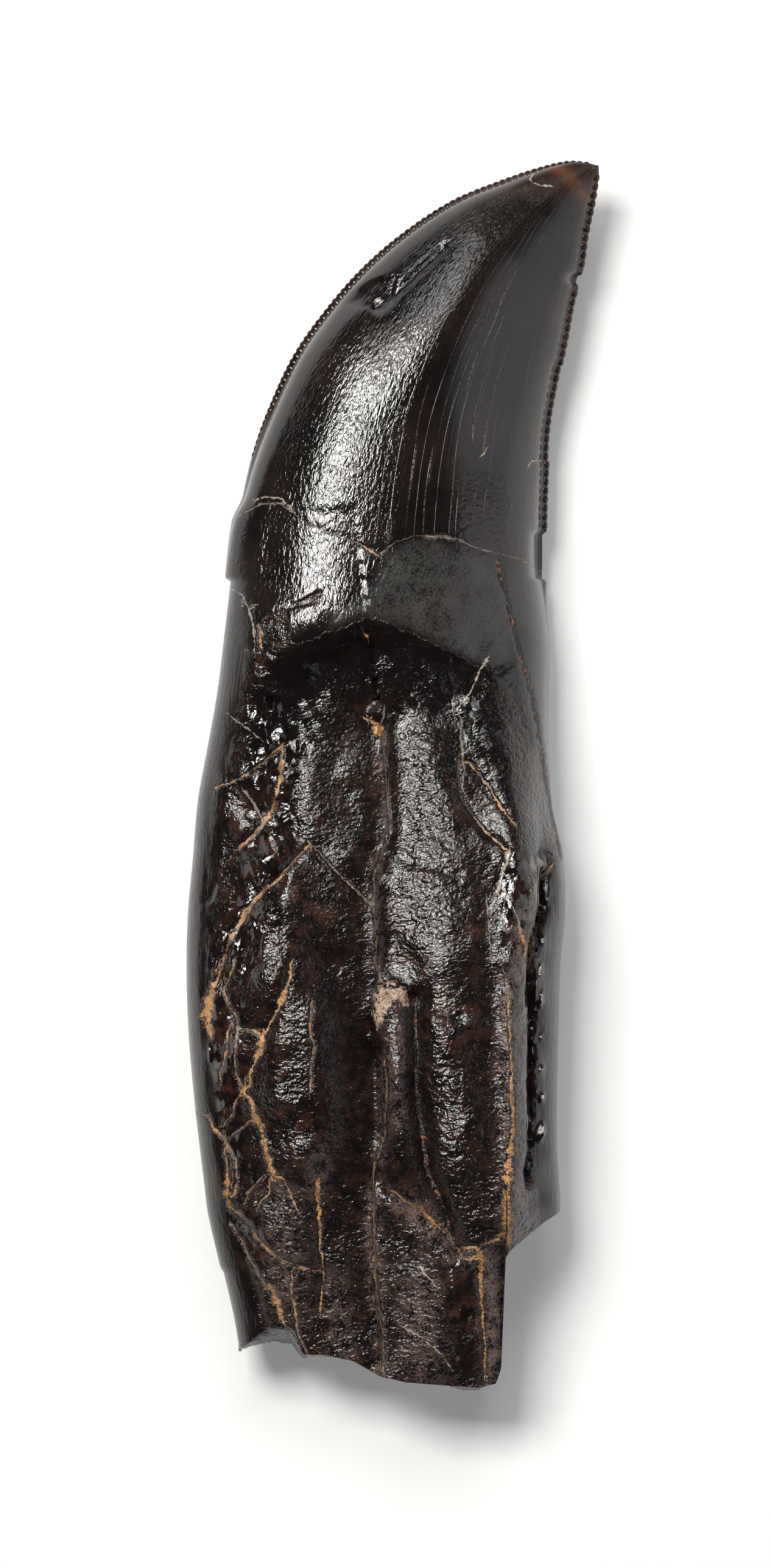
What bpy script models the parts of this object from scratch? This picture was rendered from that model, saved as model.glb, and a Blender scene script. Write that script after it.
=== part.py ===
"""Fossil allosaurus tooth: a serrated crown on a cracked root, lying on its side.

X runs across the tooth from the front edge to the rear edge, +Y runs up to the tip, +Z is up, and
the origin is under the middle of the tooth, on the surface that it rests on. Every length below is
in millimetres, and the finished mesh is scaled to metres.
"""

import math

import bmesh
import bpy
import numpy as np

MM = 0.001

# Driving dimensions. The solid is centred last, so the points below may sit a little off centre.
LENGTH_SCALE = 1.0  # of all that follows
BLADE_WIDTH = 0.42  # each cutting edge stands this far out from the body of the crown
BLADE_HALF_THICKNESS = 0.3  # at its foot
SERRATION_PITCH = 0.54
SERRATION_DEPTH = 0.22

# How finely the solid is built.
TOP_COLUMNS = 40
UNDER_COLUMNS = 20
BREAK_ROWS = 12
ROOT_ROWS = 36
CROWN_ROWS = 32
END_LEVELS = 8
NARROW = 9.2  # the columns are halved where the crown is narrower than this
NARROWEST = 3.6  # and again here

# Across the tooth from front edge to rear edge, from below the break up to the tip. Each row is
# front x, front y, rear x, rear y, height of the upper face and depth of the lower face from the
# middle surface, the height of that surface at the front edge, and its height at the rear edge,
# which hangs low where the crown begins. The root thins to its break.
STATIONS = np.array(
    [
        (-9.3, -38.4, 9.7, -38.4, 3.6, 4.3, 4.3, 4.3),
        (-9.9, -34.3, 9.8, -34.3, 4.2, 4.75, 4.55, 4.5),
        (-10.7, -30.7, 10.1, -30.7, 4.8, 5.1, 4.85, 4.8),
        (-11.5, -27.1, 10.4, -27.1, 5.4, 5.45, 5.15, 5.1),
        (-12.0, -23.3, 10.2, -23.3, 5.95, 5.75, 5.45, 5.4),
        (-12.4, -19.6, 10.2, -19.6, 6.45, 6.05, 5.75, 5.4),
        (-12.7, -15.8, 10.3, -15.8, 6.8, 6.25, 5.95, 5.3),
        (-12.8, -12.0, 10.4, -12.0, 7.0, 6.4, 6.1, 5.2),
        (-12.7, -8.6, 10.7, -8.6, 7.1, 6.5, 6.15, 5.0),
        (-12.4, -5.3, 10.6, -5.3, 7.1, 6.55, 6.15, 4.6),
        (-12.1, -1.8, 9.9, -2.1, 7.0, 6.6, 6.15, 4.4),
        (-11.5, 1.5, 9.7, 1.5, 6.85, 6.6, 6.15, 4.0),
        (-10.9, 4.9, 9.7, 4.7, 6.7, 6.55, 6.15, 3.2),
        (-10.5, 8.1, 9.8, 7.7, 6.55, 6.45, 6.15, 2.5),
        (-10.1, 11.5, 9.6, 10.9, 6.45, 6.15, 6.13, 2.5),
        (-9.8, 14.5, 9.6, 13.4, 6.3, 5.8, 6.08, 2.9),
        (-9.3, 17.3, 9.6, 16.0, 6.1, 5.45, 6.0, 3.3),
        (-8.7, 19.8, 9.7, 18.8, 5.9, 5.1, 5.88, 3.4),
        (-7.7, 22.6, 9.9, 21.7, 5.5, 4.8, 5.75, 3.6),
        (-6.2, 25.8, 10.4, 24.5, 5.0, 4.3, 5.63, 3.8),
        (-4.25, 28.6, 10.9, 27.0, 4.4, 3.8, 5.5, 4.0),
        (-1.95, 31.25, 11.3, 29.2, 3.7, 3.2, 5.38, 4.1),
        (0.65, 33.5, 11.85, 31.3, 2.95, 2.6, 5.28, 4.3),
        (3.7, 35.5, 12.15, 33.4, 2.15, 1.95, 5.2, 4.45),
        (6.85, 36.8, 12.5, 35.1, 1.4, 1.3, 5.15, 4.6),
        (9.25, 37.6, 12.7, 36.3, 0.8, 0.8, 5.12, 4.8),
        (10.9, 37.95, 12.8, 37.05, 0.42, 0.42, 5.1, 5.0),
        (12.1, 37.88, 12.8, 37.4, 0.2, 0.2, 5.1, 5.1),
    ]
)
TIP = (12.8, 37.7, 5.1)
REAR_SAG = 2.0  # the middle surface keeps the front edge's height until well past the middle
ROW_LINE = 4.0  # the station above which the rows no longer follow the break
CROWN_STARTS = (13.0, 18.5)  # the round root turns into the bladed crown between these stations
REAR_BLADE_STARTS = (12.5, 15.0)  # the rear cutting edge runs further down

# The old fracture round the crown's base, from front edge to rear edge.
CROWN_BASE = [
    (-10.6, 14.6), (-9.7, 15.7), (-8.2, 16.5), (-6.9, 16.5), (-5.2, 15.2), (-2.1, 14.0),
    (-0.9, 13.3), (0.0, 14.0), (1.3, 14.5), (3.5, 14.4), (5.5, 13.7), (7.8, 13.2), (10.3, 12.0),
]
CROWN_BASE_STEP = 0.14

# The broken root end, from front edge to rear edge, on the upper and the lower face.
BREAK_UPPER = [
    (-11.0, -34.9), (-9.5, -35.7), (-8.8, -35.3), (-6.4, -34.8), (-5.6, -36.1), (-4.4, -36.1),
    (-2.5, -36.5), (-0.9, -37.4), (0.9, -37.8), (3.4, -38.0), (5.4, -38.15), (6.4, -37.9),
    (6.7, -36.9), (6.75, -30.4), (7.2, -29.6), (8.5, -28.5), (9.5, -27.8), (11.0, -27.0),
]
BREAK_LOWER = [
    (-11.0, -34.2), (-9.6, -35.5), (-7.5, -35.2), (-5.4, -35.8), (-3.0, -35.1), (-0.5, -36.3),
    (2.0, -36.6), (4.0, -37.4), (5.8, -37.1), (6.7, -35.8), (6.75, -31.0), (7.4, -29.4),
    (9.0, -28.6), (11.0, -26.6),
]
END_BULGE = 0.5  # the broken dentine stands this much proud of the two faces
PULP_CENTRE = (-0.9, 4.2)  # x and z
PULP_HALF_SIZE = (4.6, 1.4)
PULP_DEPTH = 3.4
END_ROUGHNESS = 0.28
WALL_ROUGHNESS = 0.25
END_WALL = (5.2, 6.6)  # from here on the break turns up the tooth and is a plain wall
WALL_SHARE = 0.84  # of the way from front edge to rear edge, where a column of points runs

# Ridges and grooves of the upper face: points, half width and height.
UPPER_FORMS = [
    # the long swollen lobe beside the rear groove
    ([(3.4, 3.2), (3.7, -1.0), (3.5, -6.7), (3.1, -12.3), (3.4, -18.0), (3.9, -23.7),
      (4.5, -27.5)], 1.7, 0.75),
    # the finger in the middle, and the low ridge that runs into it
    ([(-0.2, -13.4), (0.0, -15.5), (0.2, -18.0)], 1.15, 0.7),
    ([(0.3, -19.0), (0.4, -23.5)], 0.8, 0.3),
    ([(-0.7, 2.8), (-0.3, -3.3), (-1.1, -6.4), (-1.1, -12.2)], 0.5, 0.3),
    # the broken lobe at the front
    ([(-9.5, -2.1), (-7.8, -4.8), (-7.8, -9.7), (-8.4, -13.9), (-7.8, -18.0), (-6.7, -21.8),
      (-5.5, -25.9), (-6.7, -31.2)], 1.9, 0.55),
    # the trough between the lobes
    ([(-4.0, 0.9), (-3.3, -6.7), (-3.3, -16.1), (-2.7, -25.6), (-2.1, -33.1)], 2.0, -0.6),
    # the groove that bounds the swollen lobe, which ends in a ledge
    ([(1.4, -13.9), (1.4, -19.4), (1.7, -21.6), (2.1, -24.4), (2.9, -26.3), (3.9, -29.4)],
     0.55, -0.6),
    # the deep groove near the rear edge
    ([(9.3, -6.3), (9.2, -8.9), (8.5, -12.3), (8.7, -14.6), (8.8, -19.0), (9.0, -22.5)],
     0.55, -0.85),
    # the narrow rib beside it
    ([(7.1, -13.9), (7.3, -20.3), (7.2, -23.7), (7.1, -29.0)], 0.5, 0.3),
    # the gouged flake scar on the crown
    ([(-3.2, 29.2), (-1.6, 29.8), (-0.9, 28.9)], 0.9, -0.3),
    ([(-0.9, 28.6), (0.3, 29.6), (1.4, 30.7), (3.1, 32.3)], 0.35, -0.3),
]
# Ridges and grooves of the hidden face, in the same form.
LOWER_FORMS = [
    ([(-0.5, 6.5), (-1.0, 0.0), (-0.5, -6.0)], 2.2, -0.5),
    ([(7.6, 4.0), (7.9, -6.0), (7.4, -18.0), (7.0, -28.0)], 0.7, -0.55),
    ([(-8.6, 2.0), (-9.0, -10.0), (-8.2, -22.0), (-7.4, -30.0)], 0.8, -0.5),
    ([(4.4, 4.0), (4.9, -8.0), (4.6, -20.0)], 1.5, 0.35),
]

# Below this arch the enamel has flaked away and the root's upper face drops.
ARCH = [
    (-12.5, -3.0), (-9.1, 1.3), (-8.8, 4.7), (-8.2, 6.9), (-6.6, 8.2), (-4.6, 9.0), (-2.5, 9.8),
    (-0.5, 10.3), (2.0, 9.2), (4.3, 7.8), (5.6, 6.4), (6.4, 3.9), (7.1, 0.5), (8.4, -5.0),
    (9.2, -12.0),
]
ARCH_DROP = 0.95
ARCH_WIDTH = 2.3
ARCH_FADE = (-14.0, 4.0)  # the drop has faded out at the first y and is whole at the second

# Where an edge is chipped or swollen: from y, to y, and how far it moves out of the tooth.
FRONT_EDGE_CHANGES = [(11.9, 16.9, 0.38), (-31.2, -28.6, 0.22), (-36.0, -31.2, -0.22)]
REAR_EDGE_CHANGES = [(30.3, 31.0, -0.42), (19.3, 25.4, -0.1), (12.0, 14.9, -0.28)]
EDGE_STEP = 0.12  # half the height in which it moves
FRONT_SERRATIONS = (21.5, 38.2)  # they run between these heights
REAR_SERRATIONS = (14.9, 37.9)


def smooth_through(knots, values, at):
    """A cubic through the values, its slope at each knot taken from the two neighbours."""
    knots = np.asarray(knots, float)
    values = np.asarray(values, float)
    slopes = np.gradient(values, knots)
    low = np.clip(np.searchsorted(knots, at, side="right") - 1, 0, len(knots) - 2)
    span = knots[low + 1] - knots[low]
    f = (at - knots[low]) / span
    return (
        (2 * f**3 - 3 * f**2 + 1) * values[low]
        + (f**3 - 2 * f**2 + f) * span * slopes[low]
        + (3 * f**2 - 2 * f**3) * values[low + 1]
        + (f**3 - f**2) * span * slopes[low + 1]
    )


def ramp(low, high, at):
    """Rises smoothly from 0 at low to 1 at high."""
    f = np.clip((at - low) / (high - low), 0.0, 1.0)
    return f * f * (3 - 2 * f)


def reading(points, x):
    """y of an outline at x. The outline's points run in order of x."""
    xs, ys = np.array(points, float).T
    return np.interp(x, xs, ys)


def path_distance(points, x, y):
    """Distance to a path, and on which side: positive on the left as it runs."""
    nearest = np.full(np.shape(x), 1e9)
    side = np.zeros(np.shape(x))
    for (ax, ay), (bx, by) in zip(points[:-1], points[1:]):
        along_x = bx - ax
        along_y = by - ay
        share = ((x - ax) * along_x + (y - ay) * along_y) / (along_x**2 + along_y**2)
        share = np.clip(share, 0.0, 1.0)
        away_x = x - ax - share * along_x
        away_y = y - ay - share * along_y
        away = np.hypot(away_x, away_y)
        closer = away < nearest
        nearest = np.where(closer, away, nearest)
        side = np.where(closer, np.sign(along_x * away_y - along_y * away_x), side)
    return nearest, side


def lattice(ix, iy, seed):
    """A fixed value from -1 to 1 for each whole-number place."""
    mixed = np.sin(ix * 127.1 + iy * 311.7 + seed * 74.7) * 43758.5453
    return 2 * (mixed - np.floor(mixed)) - 1


def lumps(x, y, size, seed):
    """Smooth lumps from -1 to 1 that are about this size."""
    fx = x / size
    fy = y / size
    ix = np.floor(fx)
    iy = np.floor(fy)
    wx = ramp(0, 1, fx - ix)
    wy = ramp(0, 1, fy - iy)
    low = lattice(ix, iy, seed) * (1 - wx) + lattice(ix + 1, iy, seed) * wx
    high = lattice(ix, iy + 1, seed) * (1 - wx) + lattice(ix + 1, iy + 1, seed) * wx
    return low * (1 - wy) + high * wy


def station_values(s):
    """Edges and heights at a place s along the tooth, counted in stations."""
    knots = np.arange(len(STATIONS))
    return [smooth_through(knots, column, s) for column in STATIONS.T]


def chord_point(s, t):
    """x and y of the point a share t of the way from the front edge to the rear edge."""
    front_x, front_y, rear_x, rear_y = station_values(s)[:4]
    return front_x + (rear_x - front_x) * t, front_y + (rear_y - front_y) * t


def station_on(outline, t, lowest, highest):
    """Where the line of points at share t crosses an outline."""
    s = np.linspace(lowest, highest, 400)
    x, y = chord_point(s, t)
    above = y - reading(outline, x)
    first = int(np.argmax(above >= 0))
    if first == 0:
        return lowest
    share = above[first - 1] / (above[first - 1] - above[first])
    return s[first - 1] + share * (s[first] - s[first - 1])


def crown_share(s):
    """0 in the root and 1 in the crown, where the section has blades instead of round edges."""
    return ramp(*CROWN_STARTS, s)


def rear_blade_share(s):
    """The same for the rear cutting edge."""
    return ramp(*REAR_BLADE_STARTS, s)


def body_profile(t, s):
    """Height of the section, 0 to 1, at share t from front edge to rear edge."""
    crest = 0.47 - 0.09 * crown_share(s)
    even = t ** (math.log(0.5) / np.log(crest))
    front_round = 2.25 - 0.45 * crown_share(s)
    rear_round = 2.15 - 0.8 * crown_share(s)
    roundness = front_round + (rear_round - front_round) * ramp(0.2, 0.85, even)
    flat = 2.3 - 0.3 * crown_share(s)
    inside = 1 - np.abs(2 * even - 1) ** flat
    return np.clip(inside, 0, 1) ** (1 / roundness)


def edge_change(changes, y):
    moved = np.zeros(np.shape(y))
    for low, high, out in changes:
        started = ramp(low - EDGE_STEP, low + EDGE_STEP, y)
        ended = ramp(high - EDGE_STEP, high + EDGE_STEP, y)
        moved = moved + out * started * (1 - ended)
    return moved


def outward(s, rear):
    """Unit vector out of the tooth at an edge, square to that edge."""
    step = 0.02
    low = np.array(chord_point(np.maximum(s - step, 0), float(rear)))
    high = np.array(chord_point(s + step, float(rear)))
    along = (high - low) / np.linalg.norm(high - low, axis=0)
    return np.array([along[1], -along[0]]) if rear else np.array([-along[1], along[0]])


def edge_point(s, rear, extra=0.0):
    """x and y of the edge with its chips, moved out by extra."""
    x, y = chord_point(s, float(rear))
    out = outward(s, rear)
    change = edge_change(REAR_EDGE_CHANGES if rear else FRONT_EDGE_CHANGES, y) + extra
    return x + out[0] * change, y + out[1] * change


def upper_relief(x, y):
    """Height added to the upper face."""
    added = np.zeros(np.shape(x))
    for points, half_width, height in UPPER_FORMS:
        away, _ = path_distance(points, x, y)
        added = added + height * np.exp(-((away / half_width) ** 2))
    away, side = path_distance(ARCH, x, y)
    below = ramp(-0.3, 1.0, -away * side / ARCH_WIDTH)
    added = added - ARCH_DROP * below * ramp(*ARCH_FADE, y)
    root = 1 - ramp(8.0, 15.0, y)
    added = added + root * (0.16 * lumps(x, y, 2.6, 1) + 0.08 * lumps(x, y, 1.3, 2))
    above_fracture = y > reading(CROWN_BASE, x) - 1e-6
    return added + CROWN_BASE_STEP * above_fracture * (1 - ramp(14, 19, y))


def lower_relief(x, y):
    """Depth added to the lower face."""
    added = np.zeros(np.shape(x))
    for points, half_width, height in LOWER_FORMS:
        away, _ = path_distance(points, x, y)
        added = added + height * np.exp(-((away / half_width) ** 2))
    root = 1 - ramp(8.0, 15.0, y)
    return added + root * (0.14 * lumps(x, y, 2.8, 5) + 0.07 * lumps(x, y, 1.4, 6))


def rounded_shares(columns):
    """Shares t of the columns where both edges are round: close together at the edges and just
    past the wall of the missing corner, which has three quarters of them before it."""
    even = 0.5 - 0.5 * np.cos(np.linspace(0, np.pi, columns + 1))
    at_wall = even[columns * 3 // 4]
    past = np.clip((even - at_wall) / (1 - at_wall), 0, 1)
    return np.where(past > 0, WALL_SHARE + (1 - WALL_SHARE) * past**2.2, even * WALL_SHARE / at_wall)


def column_shares(columns, s):
    """Shares t of the columns, nearly even between the crown's blades."""
    evened = 0.75 * crown_share(s)
    return rounded_shares(columns) * (1 - evened) + np.linspace(0, 1, columns + 1) * evened


def section(stations, shares, upper):
    """Points of one face, one station and one share for each column."""
    blade_front = BLADE_WIDTH * crown_share(stations)
    blade_rear = BLADE_WIDTH * rear_blade_share(stations)
    front = np.array(edge_point(stations, False))
    rear = np.array(edge_point(stations, True))
    across = rear - front
    width = np.linalg.norm(across, axis=0)
    slim = np.minimum(1.0, width / 6.0)
    foot_front = front + across / width * blade_front * slim
    foot_rear = rear - across / width * blade_rear * slim
    inner = np.clip((shares - shares[1]) / (shares[-2] - shares[1]), 0, 1)
    bladed = foot_front + (foot_rear - foot_front) * inner
    plain = front + across * shares
    share_bladed = crown_share(stations) * (1 - shares) + rear_blade_share(stations) * shares
    place = plain + (bladed - plain) * share_bladed
    *_, rise_above, depth_below, front_z, rear_z = station_values(stations)
    middle = front_z + (rear_z - front_z) * shares**REAR_SAG
    height = rise_above if upper else depth_below
    rise_plain = height * body_profile(shares, stations)
    foot = BLADE_HALF_THICKNESS * slim
    rise_bladed = foot + np.maximum(height - foot, 0) * body_profile(inner, stations)
    rise = rise_plain + (rise_bladed - rise_plain) * share_bladed
    inside = ramp(0.0, 0.12, np.minimum(shares, 1 - shares))
    relief = upper_relief(*place) if upper else lower_relief(*place)
    rise = np.maximum(rise + relief * inside, 0.3 * rise)
    at_edge = np.zeros(len(shares), bool)
    at_edge[[0, -1]] = True
    place[:, 0] = front[:, 0]
    place[:, -1] = rear[:, -1]
    rise[at_edge] = 0.0
    z = middle + rise if upper else np.maximum(middle - rise, 0.0)
    return np.column_stack([place[0], place[1], z])


def row_stations(shares, outline_break):
    """For each row, the station of every column, from the break to the tip."""
    starts = np.array([station_on(outline_break, t, 0.0, ROW_LINE) for t in shares])
    bases = np.array([station_on(CROWN_BASE, t, 12.0, 20.0) for t in shares])
    rows = [starts + (ROW_LINE - starts) * f for f in np.linspace(0, 1, BREAK_ROWS + 1)[:-1]]
    rows += [ROW_LINE + (bases - ROW_LINE) * f for f in np.linspace(0, 1, ROOT_ROWS + 1)[:-1]]
    last = len(STATIONS) - 1.0
    return rows + [bases + (last - bases) * f for f in np.linspace(0, 1, CROWN_ROWS + 1)]


class Skin:
    """The vertices and faces of the tooth as they are made."""

    def __init__(self):
        self.mesh = bmesh.new()

    def point(self, place):
        return self.mesh.verts.new([float(c) for c in place])

    def face(self, corners):
        """Adds a face, leaving out corners that are the same vertex."""
        kept = [c for i, c in enumerate(corners) if c is not corners[i - 1]]
        if len(kept) > 2:
            self.mesh.faces.new(kept)


def columns_kept(columns, width):
    """How many columns a row of this width keeps."""
    if width < NARROWEST:
        return columns // 4
    return columns // 2 if width < NARROW else columns


def make_rows(skin):
    """Rows of vertices, each an upper list and a lower list that share their two ends."""
    plan_shares = rounded_shares(TOP_COLUMNS)
    upper_rows = row_stations(plan_shares, BREAK_UPPER)
    lower_rows = row_stations(plan_shares, BREAK_LOWER)
    rows = []
    for above, below in zip(upper_rows, lower_rows):
        below = below.copy()
        below[[0, -1]] = above[[0, -1]]
        front = np.array(edge_point(above[0], False))
        rear = np.array(edge_point(above[-1], True))
        width = np.linalg.norm(rear - front)
        top_count = columns_kept(TOP_COLUMNS, width)
        under_count = columns_kept(UNDER_COLUMNS, width)
        upper = face_points(above, top_count, True)
        lower = face_points(below, under_count, False)
        upper_verts = [skin.point(p) for p in upper]
        lower_verts = [skin.point(p) for p in lower[1:-1]]
        rows.append((upper_verts, [upper_verts[0], *lower_verts, upper_verts[-1]], above))
    return rows


def face_points(row, columns, upper):
    """Points of one row on one face, with fewer columns where the crown is narrow."""
    every = (len(row) - 1) // columns
    stations = row[::every]
    shares = column_shares(columns, stations[columns // 2])
    stations = np.interp(shares, rounded_shares(len(row) - 1), row)
    return section(stations, shares, upper)


def serrated(skin, low, high, rear):
    """Vertices between two rows along a cutting edge, one low and two high in each serration."""
    limits = REAR_SERRATIONS if rear else FRONT_SERRATIONS
    s = np.linspace(low, high, 60)
    x, y = edge_point(s, rear)
    if y.mean() < limits[0] or y.mean() > limits[1]:
        return []
    run = np.concatenate([[0], np.cumsum(np.hypot(np.diff(x), np.diff(y)))])
    count = max(1, round(run[-1] / SERRATION_PITCH))
    fade = float(ramp(limits[0] - 0.1, limits[0] + 5.0, y.mean())) if not rear else 1.0
    z = station_values(s)[-1 if rear else -2]
    made = []
    for i in range(count):
        for share, out in ((0.3, 0.5), (0.7, 0.5), (1.0, -0.5)):
            if i == count - 1 and share == 1.0:
                continue
            at = float(np.interp((i + share) * run[-1] / count, run, s))
            px, py = edge_point(at, rear, out * SERRATION_DEPTH * fade)
            made.append(skin.point((px, py, np.interp(at, s, z))))
    return made


def fan(skin, edge, low_inner, high_inner, turned):
    """Triangles from a cutting edge to the two points inside it. Returns the edge's middle vertex.

    Every triangle reaches an inner point, so the two faces enclose each serration.
    """
    middle = len(edge) // 2
    for i, (a, b) in enumerate(zip(edge[:-1], edge[1:])):
        corners = [low_inner if i < middle else high_inner, a, b]
        skin.face(corners[::-1] if turned else corners)
    return edge[middle]


def strip(skin, low, high, front_edge, rear_edge, under):
    """Faces between two rows of one face of the tooth, whose column counts may differ by half."""
    count = len(high) - 1
    ratio = (len(low) - 1) // count
    for i in range(count):
        below = low[i * ratio : (i + 1) * ratio + 1]
        above = [high[i + 1], high[i]]
        if i == 0:
            edge = [low[0], *front_edge, high[0]]
            below[0] = fan(skin, edge, below[1], high[1], not under)
            above = [high[1]]
        elif i == count - 1:
            edge = [low[-1], *rear_edge, high[-1]]
            below[-1] = fan(skin, edge, below[-2], high[-2], under)
            above = [high[-2]]
        corners = below + above
        skin.face(corners[::-1] if under else corners)


def join_rows(skin, rows):
    for (low_up, low_down, low_s), (high_up, high_down, high_s) in zip(rows[:-1], rows[1:]):
        front_edge = serrated(skin, low_s[0], high_s[0], False)
        rear_edge = serrated(skin, low_s[-1], high_s[-1], True)
        strip(skin, low_up, high_up, front_edge, rear_edge, False)
        strip(skin, low_down, high_down, front_edge, rear_edge, True)


def close_tip(skin, row):
    """One vertex closes the last row, and is the worn tip."""
    tip = skin.point(TIP)
    upper, lower, _ = row
    for a, b in zip(upper[:-1], upper[1:]):
        skin.face([a, b, tip])
    for a, b in zip(lower[:-1], lower[1:]):
        skin.face([b, a, tip])


def end_offset(x, z, share):
    """How far a point of the broken end moves up the tooth: the pulp hollow, less the bulge."""
    across = (x - PULP_CENTRE[0]) / PULP_HALF_SIZE[0]
    away = math.hypot(across, (z - PULP_CENTRE[1]) / PULP_HALF_SIZE[1])
    hollow = PULP_DEPTH * (1 - ramp(0.5, 1.2, away))
    bulge = END_BULGE * math.sin(math.pi * share)
    rough = END_ROUGHNESS * lumps(x, z, 1.5, 9) * math.sin(math.pi * share)
    return (hollow - bulge) * (1 - ramp(*END_WALL, x)) + rough


def close_end(skin, row):
    """The broken root end: levels of vertices from the upper face down to the lower face."""
    upper, lower, _ = row
    count = len(lower) - 1
    every = (len(upper) - 1) // count
    levels = [lower]
    for level in range(1, END_LEVELS):
        share = level / END_LEVELS
        made = [lower[0]]
        for i in range(1, count):
            under = np.array(lower[i].co)
            over = np.array(upper[i * every].co)
            place = under + (over - under) * share
            in_wall = ramp(*END_WALL, place[0]) * math.sin(math.pi * share)
            place[1] += end_offset(place[0], place[2], share)
            place[0] -= WALL_ROUGHNESS * in_wall * (1 + lumps(place[1], place[2], 2.0, 11))
            made.append(skin.point(place))
        levels.append([*made, lower[-1]])
    for low, high in zip(levels[:-1], levels[1:]):
        for i in range(count):
            skin.face([low[i], low[i + 1], high[i + 1], high[i]])
    for i in range(count):
        crossing = upper[i * every : (i + 1) * every + 1]
        skin.face([levels[-1][i], levels[-1][i + 1], *crossing[::-1]])


def centred(mesh):
    """Moves the tooth over the origin, resting on z = 0, and scales it to metres."""
    places = np.array([v.co for v in mesh.verts])
    low = places.min(axis=0)
    high = places.max(axis=0)
    middle = (low + high) / 2
    middle[2] = low[2]
    for vert, place in zip(mesh.verts, places):
        vert.co = (place - middle) * MM * LENGTH_SCALE


def fossil_material():
    """Glossy dark brown enamel and dentine."""
    material = bpy.data.materials.new("fossil enamel")
    material.use_nodes = True
    shader = material.node_tree.nodes["Principled BSDF"]
    shader.inputs["Base Color"].default_value = (0.022, 0.016, 0.014, 1)
    shader.inputs["Roughness"].default_value = 0.3
    shader.inputs["Metallic"].default_value = 0.0
    return material


def make_tooth():
    skin = Skin()
    rows = make_rows(skin)
    join_rows(skin, rows)
    close_tip(skin, rows[-1])
    close_end(skin, rows[0])
    centred(skin.mesh)
    data = bpy.data.meshes.new("tooth")
    bmesh.ops.triangulate(skin.mesh, faces=skin.mesh.faces)
    skin.mesh.to_mesh(data)
    skin.mesh.free()
    data.materials.append(fossil_material())
    data.shade_smooth()
    data.set_sharp_from_angle(angle=math.radians(40))
    tooth = bpy.data.objects.new("tooth", data)
    bpy.context.scene.collection.objects.link(tooth)


def clear_scene():
    for old in list(bpy.data.objects):
        bpy.data.objects.remove(old)


clear_scene()
make_tooth()
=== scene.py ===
"""Looks of the fossil allosaurus tooth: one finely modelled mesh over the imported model.

Lengths are in millimetres until the mesh is placed, in the frame of the part's own source: X runs
across the tooth from the front edge to the rear edge, +Y up to the tip and +Z up. A place on the
tooth is also given by its station s, counted along STATIONS, and its share t, which is 0 on the
front edge and 1 on the rear edge.
"""

import math
from types import SimpleNamespace

import bpy
import numpy as np
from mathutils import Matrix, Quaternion


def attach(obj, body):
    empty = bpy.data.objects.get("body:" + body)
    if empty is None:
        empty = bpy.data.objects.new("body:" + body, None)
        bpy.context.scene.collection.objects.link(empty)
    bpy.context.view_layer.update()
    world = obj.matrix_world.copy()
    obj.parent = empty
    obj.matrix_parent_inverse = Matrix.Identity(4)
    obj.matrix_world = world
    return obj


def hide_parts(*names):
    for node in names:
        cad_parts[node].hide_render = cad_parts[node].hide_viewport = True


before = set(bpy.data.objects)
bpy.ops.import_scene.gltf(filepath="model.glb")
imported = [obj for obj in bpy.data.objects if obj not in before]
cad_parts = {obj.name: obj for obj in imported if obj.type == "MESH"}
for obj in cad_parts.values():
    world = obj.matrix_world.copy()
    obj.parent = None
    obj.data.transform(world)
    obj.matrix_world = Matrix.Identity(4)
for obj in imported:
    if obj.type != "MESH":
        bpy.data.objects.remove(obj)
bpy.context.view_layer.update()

MM = 0.001

# The tooth's own dimensions, as in the part's source: first the thin blade along each cutting edge.
BLADE_WIDTH = 0.42
BLADE_HALF_THICKNESS = 0.3
FULL_BLADE_WIDTH = 6.0  # width of the crown below which its blades shrink
BLADE_COLUMNS = 3  # columns of a face's points that each blade has
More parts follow.
